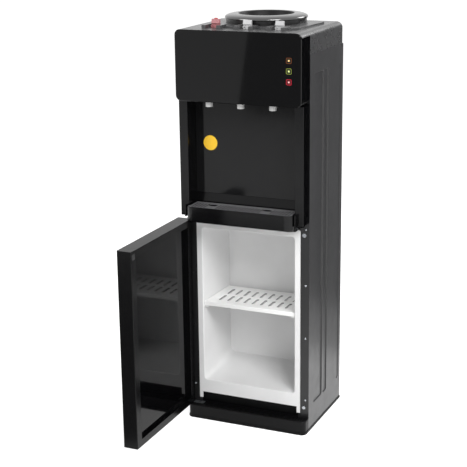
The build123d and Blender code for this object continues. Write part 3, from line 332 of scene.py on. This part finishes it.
def galvanised_sheet(name, colour):
    """Hot-dip galvanised steel: spangle crystals about 9 mm across, each with its own grey and
    gloss."""
    made, tree, shader = start_material(name, Metallic=1.0)
    where = put(tree, "ShaderNodeTexCoord").outputs["Object"]
    spangle = put(tree, "ShaderNodeTexVoronoi", {"Vector": where, "Scale": 1 / (9 * MM)})
    part = put(tree, "ShaderNodeSeparateColor", {"Color": spangle.outputs["Color"]})
    crystal = part.outputs["Red"]
    feed(tree, shader, Base_Color=tinted(tree, crystal, colour, 0.14),
         Roughness=ranged(tree, crystal, 0.32, 0.5))
    return made


def brushed_metal(name, colour, roughness, stretch):
    """Drawn or brushed metal: fine lines along the direction that the stretch leaves long."""
    made, tree, shader = start_material(name, Metallic=1.0)
    lines = noise(tree, 1.0, 2.0, stretch)
    feed(tree, shader, Base_Color=tinted(tree, lines, colour, 0.08),
         Roughness=ranged(tree, lines, roughness * 0.75, roughness * 1.3))
    bumped(tree, shader, lines, 0.01)
    return made


def bead_foam(name, colour):
    """Expanded polystyrene: beads about 4 mm across pressed into flats with shallow joints."""
    made, tree, shader = start_material(name, Roughness=0.75)
    where = put(tree, "ShaderNodeTexCoord").outputs["Object"]
    beads = put(tree, "ShaderNodeTexVoronoi", {"Vector": where, "Scale": 1 / (4 * MM)},
                feature="DISTANCE_TO_EDGE")
    feed(tree, shader, Base_Color=tinted(tree, noise(tree, 12), colour, 0.03))
    bumped(tree, shader, beads.outputs["Distance"], 0.4)
    return made


def soft_rubber(name, colour, roughness):
    """Moulded rubber, from satin to dull with a dusty bloom; also the magnet's bound ferrite."""
    made, tree, shader = start_material(name, IOR=1.52)
    feed(tree, shader, Base_Color=tinted(tree, noise(tree, 14), colour, 0.15),
         Roughness=ranged(tree, noise(tree, 8), roughness * 0.85, roughness * 1.15))
    bumped(tree, shader, noise(tree, 0.8), 0.02)
    return made


def silicone_tube(name, colour):
    """Translucent silicone rubber: milky, soft-edged, lets some light through."""
    made, tree, shader = start_material(name, IOR=1.41, Transmission_Weight=0.35)
    feed(tree, shader, Base_Color=tinted(tree, noise(tree, 20), colour, 0.03),
         Roughness=ranged(tree, noise(tree, 6), 0.35, 0.5))
    return made


def lit_lens(name, rim, body, core, centre):
    """Dyed acrylic lens over a lamp: a lit spot in the middle, a dark field, and a glowing square
    rim where the light leaves at the edge."""
    made, tree, shader = start_material(name, Roughness=0.12, IOR=1.49, Emission_Strength=0.35)
    where = put(tree, "ShaderNodeTexCoord").outputs["Object"]
    off = put(tree, "ShaderNodeVectorMath", {0: where, 1: centre}, operation="SUBTRACT")
    part = put(tree, "ShaderNodeSeparateXYZ", {"Vector": off.outputs["Vector"]})
    across = put(tree, "ShaderNodeMath", {0: part.outputs["X"]}, operation="ABSOLUTE")
    along = put(tree, "ShaderNodeMath", {0: part.outputs["Z"]}, operation="ABSOLUTE")
    square = put(tree, "ShaderNodeMath", {0: across.outputs[0], 1: along.outputs[0]},
                 operation="MAXIMUM")
    half_width = 6.5 * MM
    reach = put(tree, "ShaderNodeMath", {0: square.outputs[0], 1: 1 / half_width},
                operation="MULTIPLY")
    ramp = put(tree, "ShaderNodeValToRGB", {"Fac": reach.outputs[0]})
    stops = ((0.0, core), (0.14, core), (0.36, body), (0.78, body), (0.9, rim), (1.0, rim))
    while len(ramp.color_ramp.elements) < len(stops):
        ramp.color_ramp.elements.new(0.5)
    for element, (place, colour) in zip(ramp.color_ramp.elements, stops):
        element.position = place
        element.color = (*colour, 1)
    feed(tree, shader, Base_Color=ramp.outputs["Color"], Emission_Color=ramp.outputs["Color"])
    return made


def vinyl_disc(name, colour):
    """Plain vinyl label stock: even colour under a semi-gloss film, faintly uneven where stuck."""
    made, tree, shader = start_material(name, IOR=1.5)
    feed(tree, shader, Base_Color=tinted(tree, noise(tree, 9), colour, 0.03),
         Roughness=ranged(tree, noise(tree, 5), 0.28, 0.36))
    bumped(tree, shader, noise(tree, 7, 1.0), 0.03)
    return made


def dress(node_names, material):
    """Gives CAD nodes a finish."""
    for name in node_names:
        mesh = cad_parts[name].data
        mesh.materials.clear()
        mesh.materials.append(material)


def keep(piece, body, slot, *nodes):
    """Settles a finished piece: it rides on its body, and may stand for CAD nodes. slot is not
    used."""
    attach(piece, body)
    if nodes:
        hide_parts(*nodes)


# ---- what a user would change ----
def tone(label, about, code):
    """A colour that a user may change."""
    return bpy.props.FloatVectorProperty(name=label, description=about, subtype="COLOR",
                                         default=linear(code))


def measure(label, about, metres):
    """A length that a user may change."""
    return bpy.props.FloatProperty(name=label, description=about, unit="LENGTH", default=metres)


class DispenserLooks(bpy.types.PropertyGroup):
    moulding: tone("Front moulding", "Colour of the polished front, tray and head", "#070708")
    panel: tone("Head panel", "Backing colour of the glossy head and door sheets", "#050506")
    cover: tone("Cover", "Colour of the top cover", "#414142")
    seat: tone("Seat", "Colour of the bottle seat", "#161617")
    steel: tone("Side panels", "Colour of the powder coat on the side and rear panels", "#363637")
    liner: tone("Liner", "Colour of the cabinet's formed liner", "#e5e5e5")
    keys: tone("Keys", "Colour of the room and cold keys", "#bebebf")
    hot_key: tone("Hot key", "Colour of the hot key", "#a86c70")
    disc: tone("Disc", "Colour of the round label on the alcove's panel", "#f0c022")


class DispenserSizes(bpy.types.PropertyGroup):
    seat_radius: measure("Seat radius", "Outer radius of the bottle seat's dome", 0.098)
    mouth_radius: measure("Mouth radius", "Radius of the opening for the bottle's shoulder", 0.0625)
    spigot_radius: measure("Spigot radius", "Outer radius of the spigot under the seat", 0.029)
    screw_radius: measure("Screw head radius", "Radius of the pan-head screws", 0.0027)
    screw_height: measure("Screw head height", "Height of the pan-head screws", 0.0014)
    recess_width: measure("Recess width", "Width of the bars of each screw's cross recess", 0.0009)
    disc_radius: measure("Disc radius", "Radius of the round label on the alcove's panel", 0.0178)
    floor_size: measure("Floor size", "Side of the square studio floor", 60.0)


# ---- operators ----
class DISPENSER_OT_body(bpy.types.Operator):
    """Finishes the panels, mouldings and liner of the body and the door"""
    bl_idname = "dispenser.finish_body"
    bl_label = "Body finishes"

    def execute(self, context):
        looks = context.scene.dispenser_looks
        satin = moulded_plastic("spark_textured_black_abs", linear("#09090a"), 0.42, grain_mm=0.9,
                                ior=1.25)
        dress(["front_fascia", "head_housing", "drip_tray"],
              moulded_plastic("polished_black_abs", looks.moulding, 0.16, wave_mm=0.02, ior=1.3))
        dress(["top_cover"],
              moulded_plastic("polished_grey_black_abs", looks.cover, 0.28, wave_mm=0.02, ior=1.6))
        dress(["door_shell"],
              moulded_plastic("satin_black_abs", linear("#060607"), 0.24, wave_mm=0.02, ior=1.24))
        dress(["head_panel"], acrylic_sheet("black_acrylic_sheet", looks.panel, 0.03, 1.31))
        dress(["door_panel"], acrylic_sheet("door_acrylic_sheet", looks.panel, 0.06, 1.24))
        dress(["alcove_panel"],
              acrylic_sheet("alcove_acrylic_sheet", linear("#111112"), 0.08, 1.27))
        dress(["base_pan", "kick_plate", "cord_gland", "switch_frame", "fan_frame", "fan_rotor",
               "thermostats", "drain_cap", "rocker_cooling"], satin)
        # 6e6e70 is the painted reflection on the grille's upward faces
        dress(["drip_grille"],
              grille_plate_painted_reflection("grille_abs_painted_reflection", linear("#6e6e70"), linear("#040405")))
        # 111112 is painted shade for the panels' forward-facing front returns
        dress(["side_panel_left", "side_panel_right", "rear_panel"],
              powder_coat("dark_powder_coat_painted_shade", looks.steel, linear("#111112"), 0.34))
        dress(["cabinet_liner"], formed_sheet("white_formed_polystyrene", looks.liner, 0.36))
        low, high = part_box("cabinet_shelf")
        past_lip, under_plate = low.y + 4 * MM, high.z - 4 * MM
        # 8c8c8b is painted shade on the shelf's slot walls
        dress(["cabinet_shelf"],
              slotted_polystyrene("white_polystyrene_painted_slot_shade", linear("#f9f9f8"), linear("#8c8c8b"),
                                  past_lip, under_plate))
        dress(["front_rail", "hinge_bracket_bottom", "hinge_bracket_top"],
              galvanised_sheet("galvanised_sheet", linear("#9da1a4")))
        dress(["seat_band"], soft_rubber("seat_band_rubber", linear("#020203"), 0.3))
        return {"FINISHED"}


class DISPENSER_OT_outlets(bpy.types.Operator):
    """Finishes the keys, rods, outlets, lock and signal lenses"""
    bl_idname = "dispenser.finish_outlets"
    bl_label = "Outlet and key finishes"

    def execute(self, context):
        looks = context.scene.dispenser_looks
        dress(["tap_hot", "tap_room", "tap_cold", "push_rod_hot", "push_rod_room", "push_rod_cold",
               "water_probe", "drain_outlet"],
              moulded_plastic("white_food_grade_abs", linear("#bcbcbb"), 0.24, wave_mm=0.01,
                              spread=0.02))
        dress(["key_room", "key_cold"],
              moulded_plastic("pale_grey_abs", looks.keys, 0.28, wave_mm=0.01, spread=0.02))
        dress(["key_hot"],
              moulded_plastic("red_abs", looks.hot_key, 0.26, wave_mm=0.01, spread=0.03))
        dress(["child_lock", "rocker_heating"],
              moulded_plastic("dark_red_abs", linear("#b01018"), 0.3, wave_mm=0.01, spread=0.03))
        dress(["key_axle"], plated_steel("drawn_wire", linear("#b9bcc0"), 0.25))
        lenses = {"lens_heating": ("#663610", "#0a0806", "#ffd890"),
                  "lens_cooling": ("#7e8a34", "#0f110a", "#e2f29a"),
                  "lens_power": ("#b01428", "#40070f", "#ffb4b0")}
        for node, codes in lenses.items():
            rim, body, core = [linear(code) for code in codes]
            low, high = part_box(node)
            dress([node], lit_lens(node + "_acrylic", rim, body, core, (low + high) / 2))
        return {"FINISHED"}


class DISPENSER_OT_inside(bpy.types.Operator):
    """Finishes the tanks, cooler, supply and hoses behind the panels"""
    bl_idname = "dispenser.finish_inside"
    bl_label = "Inner parts"

    def execute(self, context):
        dress(["cold_tank", "hot_tank"],
              brushed_metal("brushed_stainless", linear("#b9babb"), 0.28, (1, 1, 0.04)))
        dress(["heat_sink", "cold_block"],
              brushed_metal("extruded_aluminium", linear("#c3c5c8"), 0.3, (1, 0.05, 1)))
        dress(["tank_shelf_upper", "tank_shelf_lower", "power_supply"],
              bpy.data.materials["galvanised_sheet"])
        dress(["tank_jacket"], bead_foam("bead_foam", linear("#e2e2dd")))
        dress(["heater_band"],
              brushed_metal("mica_band_steel", linear("#a7a297"), 0.4, (1, 1, 0.1)))
        # fired alumina is as matte and fine-grained as a spark-textured moulding
        dress(["cooling_module"],
              moulded_plastic("alumina_plate", linear("#dcdad2"), 0.6, grain_mm=0.8, spread=0.03))
        dress(["hoses"], silicone_tube("silicone_tube", linear("#c9cdcd")))
        dress(["door_magnet"], soft_rubber("ferrite_magnet", linear("#1f1f20"), 0.6))
        dress(["strike_plate", "door_buffer"], plated_steel("bright_zinc", linear("#a4a7ab"), 0.24))
        return {"FINISHED"}


class DISPENSER_OT_seat(bpy.types.Operator):
    """Makes the bottle seat: a domed collar, its funnel and its spigot, turned from one outline"""
    bl_idname = "dispenser.make_seat"
    bl_label = "Bottle seat"

    def execute(self, context):
        sizes, looks = context.scene.dispenser_sizes, context.scene.dispenser_looks
        outer, mouth, spigot = sizes.seat_radius, sizes.mouth_radius, sizes.spigot_radius
        top, low = SEAT_HIGH.z, SEAT_LOW.z
        foot = top - 10.3 * MM              # underside of the dome's rim
        edge, lip, wall = 0.8 * MM, 5 * MM, 3 * MM
        crest = mouth + lip
        under_rim = outer - 9 * MM
        outline = [(under_rim, foot), (outer - edge, foot), (outer, foot + edge)]
        dome_steps, lip_steps = 14, 6
        for step in range(1, dome_steps + 1):
            angle = math.pi / 2 * step / dome_steps
            outline.append((crest + (outer - crest) * math.cos(angle) ** 0.9,
                            foot + edge + (top - foot - edge) * math.sin(angle) ** 0.75))
        for step in range(1, lip_steps + 1):
            angle = math.pi / 2 * step / lip_steps
            outline.append((crest - (crest - mouth) * math.sin(angle),
                            top - lip * (1 - math.cos(angle))))
        # down the funnel's inner side to the spigot's end, then up its outer side to the rim
        outline += [(0.041, top - 0.0433), (0.036, top - 0.0470), (spigot - wall, top - 0.0493),
                    (spigot - wall, low), (spigot, low), (spigot, top - 0.0518),
                    (0.038, top - 0.0490), (0.043, top - 0.0458), (mouth + 3.5 * MM, top - 0.0070),
                    (under_rim, foot + 2 * MM)]
        start = bpy.data.meshes.new("bottle_seat_outline")
        count = len(outline)
        start.from_pydata([(radius - crest, -height, 0) for radius, height in outline],
                          [(k, (k + 1) % count) for k in range(count)], [])
        tree, names = turned_shape()
        finish = moulded_plastic("polished_seat_abs", looks.seat, 0.16, wave_mm=0.01, ior=2.0)
        piece = grow("bottle_seat_turned", start, tree, names, ring_radius=crest, facets=128,
                     centre=(SEAT_CENTRE.x, SEAT_CENTRE.y, 0.0), material=finish)
        close_up(piece)
        inner = moulded_plastic("funnel_abs", linear("#0c0c0d"), 0.5, grain_mm=1.0, ior=1.3)
        piece.data.materials.append(inner)
        matte_reach = mouth + 3.6 * MM      # takes in the spigot, the funnel and most of the lip
        for face in piece.data.polygons:
            away = math.hypot(face.center.x - SEAT_CENTRE.x, face.center.y - SEAT_CENTRE.y)
            if away < matte_reach:
                face.material_index = 1
        keep(piece, "seat", "black_cover", "bottle_seat")
        return {"FINISHED"}


def close_up(piece):
    """Merges doubled points and turns every face outwards."""
    made = bmesh.new()
    made.from_mesh(piece.data)
    bmesh.ops.remove_doubles(made, verts=made.verts, dist=SAME_POINT)
    bmesh.ops.recalc_face_normals(made, faces=made.faces)
    made.to_mesh(piece.data)
    made.free()


class DISPENSER_OT_screws(bpy.types.Operator):
    """Makes the cross-recess screws of the front jambs and the rear panel"""
    bl_idname = "dispenser.make_screws"
    bl_label = "Screws"

    def execute(self, context):
        sizes = context.scene.dispenser_sizes
        jamb_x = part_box("jamb_screws")[1].x - sizes.screw_radius
        jamb_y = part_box("side_panel_right")[0].y
        jamb_z = (0.080, 0.238, 0.370, 0.507)
        # all four on the right jamb, and only the lowest on the left, as the photograph shows them
        front = [(jamb_x, jamb_y, z) for z in jamb_z] + [(-jamb_x, jamb_y, jamb_z[0])]
        rear_x, rear_y = 0.1475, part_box("rear_panel")[1].y
        rear_z = (0.030, 0.235, 0.455, 0.675, 0.895)
        rear_middle_z = (0.022, 0.900)
        rear = [(side * rear_x, rear_y, z) for side in (-1, 1) for z in rear_z]
        rear += [(0.0, rear_y, z) for z in rear_middle_z]
        bright = plated_steel("bright_zinc_screw", linear("#a2a5a9"), 0.24)
        dull = plated_steel("grey_zinc_screw", linear("#8f9295"), 0.3)
        tree, names = cross_screws()
        # name, places, turn from upright, seed, finish, CAD nodes it stands for
        for name, places, turn, seed, finish, nodes in (
                ("jamb_screws_cross", front, math.pi / 2, 3, bright, ["jamb_screws"]),
                ("rear_screws_cross", rear, -math.pi / 2, 8, dull, [])):
            start = bpy.data.meshes.new(name + "_places")
            start.from_pydata(places, [], [])
            piece = grow(name, start, tree, names, head_radius=sizes.screw_radius,
                         head_height=sizes.screw_height, recess_width=sizes.recess_width,
                         seed=seed, facing=Euler((turn, 0, 0)), material=finish)
            close_up(piece)
            keep(piece, "cabinet", "zinc_screw", *nodes)
        return {"FINISHED"}


class DISPENSER_OT_disc(bpy.types.Operator):
    """Makes the plain round label on the alcove's panel"""
    bl_idname = "dispenser.make_disc"
    bl_label = "Round label"

    def execute(self, context):
        sizes, looks = context.scene.dispenser_sizes, context.scene.dispenser_looks
        centre = Vector((-0.0960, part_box("alcove_panel")[0].y, 0.6945))
        made = bmesh.new()
        hub_lift = 0.35 * MM
        # share of the radius and lift off the panel, from the flat face to the rounded edge
        rings = ((0.94, hub_lift), (0.985, 0.3 * MM), (1.0, 0.0))
        turns = 64
        hub = made.verts.new(centre + Vector((0, -hub_lift, 0)))
        loops = []
        for share, lift in rings:
            reach = sizes.disc_radius * share
            angles = [math.tau * k / turns for k in range(turns)]
            loops.append([made.verts.new(centre + Vector((math.cos(angle) * reach, -lift,
                                                          math.sin(angle) * reach)))
                          for angle in angles])
        for k in range(turns):
            n = (k + 1) % turns
            made.faces.new((hub, loops[0][k], loops[0][n]))
            for a, b in zip(loops, loops[1:]):
                made.faces.new((a[k], b[k], b[n], a[n]))
        made.faces.new(list(reversed(loops[-1])))
        bmesh.ops.recalc_face_normals(made, faces=made.faces)
        mesh = bpy.data.meshes.new("yellow_disc")
        made.to_mesh(mesh)
        made.free()
        mesh.materials.append(vinyl_disc("yellow_vinyl", looks.disc))
        piece = bpy.data.objects.new("yellow_disc", mesh)
        context.scene.collection.objects.link(piece)
        keep(piece, "cabinet", "label_yellow")
        return {"FINISHED"}


class DISPENSER_OT_stage(bpy.types.Operator):
    """Sets the floor, the cards, plain studio light and the camera at the photograph's angle"""
    bl_idname = "dispenser.set_stage"
    bl_label = "Floor, light and camera"

    def execute(self, context):
        scene = context.scene
        half = scene.dispenser_sizes.floor_size / 2
        over_floor = 2 * MM
        sheet("floor", lying(-half, half, -half, half, 0), pale_floor())
        # the dark upper side panel and its slow change to the bright foot
        card("side_card", upright(0.256, 1.18, 0.78, 0.0, 1.20), 0.0)
        card("side_floor_card", lying(0.10, 1.18, 0.42, 0.78, over_floor), 0.6)
        # the slanted edge between the two tones of the head's panel
        card("head_card", ((-1.252, -3.0, 0.20), (-0.80, -3.0, 0.20), (-0.80, -3.0, 0.72),
                           (-1.175, -3.0, 0.72)), 0.4)
        # a darker floor, mirrored by the tray's front and the upper jambs
        card("floor_card", lying(-1.20, -0.20, -2.0, -0.50, over_floor), 0.3)
        white_surround(scene)
        # name, place, target, size in metres, watts
        soft_box("key_light", (2.6, -2.4, 3.2), (0, 0, 0.5), (1.8, 1.8), 140)
        soft_box("edge_light", (2.3, -1.15, 0.5), (0, 0, 0.3), (0.35, 0.9), 2)
        soft_box("fill_light", (-2.6, -2.6, 2.4), (0, 0, 0.7), (1.6, 2.2), 60)
        soft_box("back_light", (1.8, 2.6, 2.4), (0, 0, 0.6), (1.5, 1.5), 50)
        take_view(scene)
        scene.view_settings.view_transform = "Standard"
        return {"FINISHED"}


# ---- studio ----
def lying(x0, x1, y0, y1, z):
    """Corners of a level rectangle."""
    return (x0, y0, z), (x1, y0, z), (x1, y1, z), (x0, y1, z)


def upright(x0, x1, y, z0, z1):
    """Corners of a rectangle that stands across the view from the front."""
    return (x0, y, z0), (x1, y, z0), (x1, y, z1), (x0, y, z1)


def sheet(name, corners, material):
    """A flat four-cornered part of the stage."""
    mesh = bpy.data.meshes.new(name)
    mesh.from_pydata(corners, [], [(0, 1, 2, 3)])
    mesh.materials.append(material)
    made = bpy.data.objects.new(name, mesh)
    bpy.context.scene.collection.objects.link(made)
    return made


def card(name, corners, level):
    """A studio card that only reflections show; level is its brightness against the white
    surround."""
    shade = bpy.data.materials.new(name + "_paper")
    shade.use_nodes = True
    tree = shade.node_tree
    tree.nodes.clear()
    glow = put(tree, "ShaderNodeEmission", {"Color": (1, 1, 1, 1), "Strength": level})
    put(tree, "ShaderNodeOutputMaterial", {"Surface": glow.outputs[0]})
    made = sheet(name, corners, shade)
    made.visible_camera = False
    made.visible_diffuse = False
    made.visible_transmission = False
    made.visible_shadow = False


def seen_directly(tree):
    """1 for camera, glossy and transmission rays, 0 for the rays that light the object."""
    path = put(tree, "ShaderNodeLightPath").outputs
    first = put(tree, "ShaderNodeMath", {0: path["Is Camera Ray"], 1: path["Is Glossy Ray"]},
                operation="MAXIMUM")
    return put(tree, "ShaderNodeMath", {0: first.outputs[0], 1: path["Is Transmission Ray"]},
               operation="MAXIMUM").outputs[0]


def pale_floor():
    """Pale matte studio floor. The lamps leave it short of white, so it glows by the rest where it
    is seen directly: white to the camera except where the object shades it."""
    made = bpy.data.materials.new("pale_floor")
    made.use_nodes = True
    tree = made.node_tree
    tree.nodes.clear()
    matte = put(tree, "ShaderNodeBsdfDiffuse", {"Color": (*linear("#e6e6e6"), 1)})
    glow = put(tree, "ShaderNodeEmission", {"Color": (1, 1, 1, 1)})
    rest = 0.62
    lift = put(tree, "ShaderNodeMath", {0: seen_directly(tree), 1: rest}, operation="MULTIPLY")
    tree.links.new(lift.outputs[0], glow.inputs["Strength"])
    both = put(tree, "ShaderNodeAddShader", {0: matte.outputs[0], 1: glow.outputs[0]})
    put(tree, "ShaderNodeOutputMaterial", {"Surface": both.outputs[0]})
    return made


def white_surround(scene):
    """World: white where it is seen or mirrored, and a plain grey light elsewhere."""
    world = bpy.data.worlds.new("studio")
    scene.world = world
    world.use_nodes = True
    tree = world.node_tree
    tree.nodes.clear()
    lighting, seen = 0.55, 1.0
    level = put(tree, "ShaderNodeMapRange",
                {"Value": seen_directly(tree), "To Min": lighting, "To Max": seen})
    shade = put(tree, "ShaderNodeBackground",
                {"Color": (1, 1, 1, 1), "Strength": level.outputs["Result"]})
    put(tree, "ShaderNodeOutputWorld", {"Surface": shade.outputs[0]})


def soft_box(name, place, target, size, watts):
    """A rectangular area lamp that faces the target."""
    lamp = bpy.data.lights.new(name, "AREA")
    lamp.shape = "RECTANGLE"
    lamp.size, lamp.size_y = size
    lamp.energy = watts
    made = bpy.data.objects.new(name, lamp)
    bpy.context.scene.collection.objects.link(made)
    made.location = place
    made.rotation_euler = (Vector(target) - Vector(place)).to_track_quat("-Z", "Y").to_euler()


def take_view(scene):
    """The camera, turned by yaw, pitch and roll as they were fitted to the photograph's edges."""
    yaw, pitch, roll = 0.418127, 0.274103, -0.0123069
    place = Vector((1.11934, -2.70348, 1.28049))
    focal_px, frame_px, sensor_mm = 1242.115, 467, 36
    forward = Vector((-math.sin(yaw) * math.cos(pitch), math.cos(yaw) * math.cos(pitch),
                      -math.sin(pitch)))
    level = Vector((math.cos(yaw), math.sin(yaw), 0))
    upward = level.cross(forward)
    right = level * math.cos(roll) + upward * math.sin(roll)
    up = upward * math.cos(roll) - level * math.sin(roll)
    data = bpy.data.cameras.new("camera")
    data.lens = focal_px / frame_px * sensor_mm
    data.sensor_width = sensor_mm
    made = bpy.data.objects.new("camera", data)
    scene.collection.objects.link(made)
    turn = Matrix((right, up, -forward)).transposed().to_4x4()
    made.matrix_world = Matrix.Translation(place) @ turn
    scene.camera = made


class DISPENSER_PT_panel(bpy.types.Panel):
    """Lists the dispenser's pieces and the values that shape them"""
    bl_idname = "DISPENSER_PT_panel"
    bl_label = "Water dispenser"
    bl_space_type = "VIEW_3D"
    bl_region_type = "UI"
    bl_category = "Dispenser"

    def draw(self, context):
        for group in (context.scene.dispenser_sizes, context.scene.dispenser_looks):
            for name in group.__annotations__:
                self.layout.prop(group, name)
        for kind in OPERATORS:
            self.layout.operator(kind.bl_idname)


OPERATORS = (DISPENSER_OT_body, DISPENSER_OT_outlets, DISPENSER_OT_inside, DISPENSER_OT_seat,
             DISPENSER_OT_screws, DISPENSER_OT_disc, DISPENSER_OT_stage)
CLASSES = (DispenserLooks, DispenserSizes, *OPERATORS, DISPENSER_PT_panel)


def register():
    for kind in CLASSES:
        bpy.utils.register_class(kind)
    bpy.types.Scene.dispenser_looks = bpy.props.PointerProperty(type=DispenserLooks)
    bpy.types.Scene.dispenser_sizes = bpy.props.PointerProperty(type=DispenserSizes)


def unregister():
    del bpy.types.Scene.dispenser_sizes
    del bpy.types.Scene.dispenser_looks
    for kind in reversed(CLASSES):
        bpy.utils.unregister_class(kind)


def main():
    register()
    for kind in OPERATORS:
        group, name = kind.bl_idname.split(".")
        getattr(getattr(bpy.ops, group), name)()


if __name__ == "__main__":
    main()
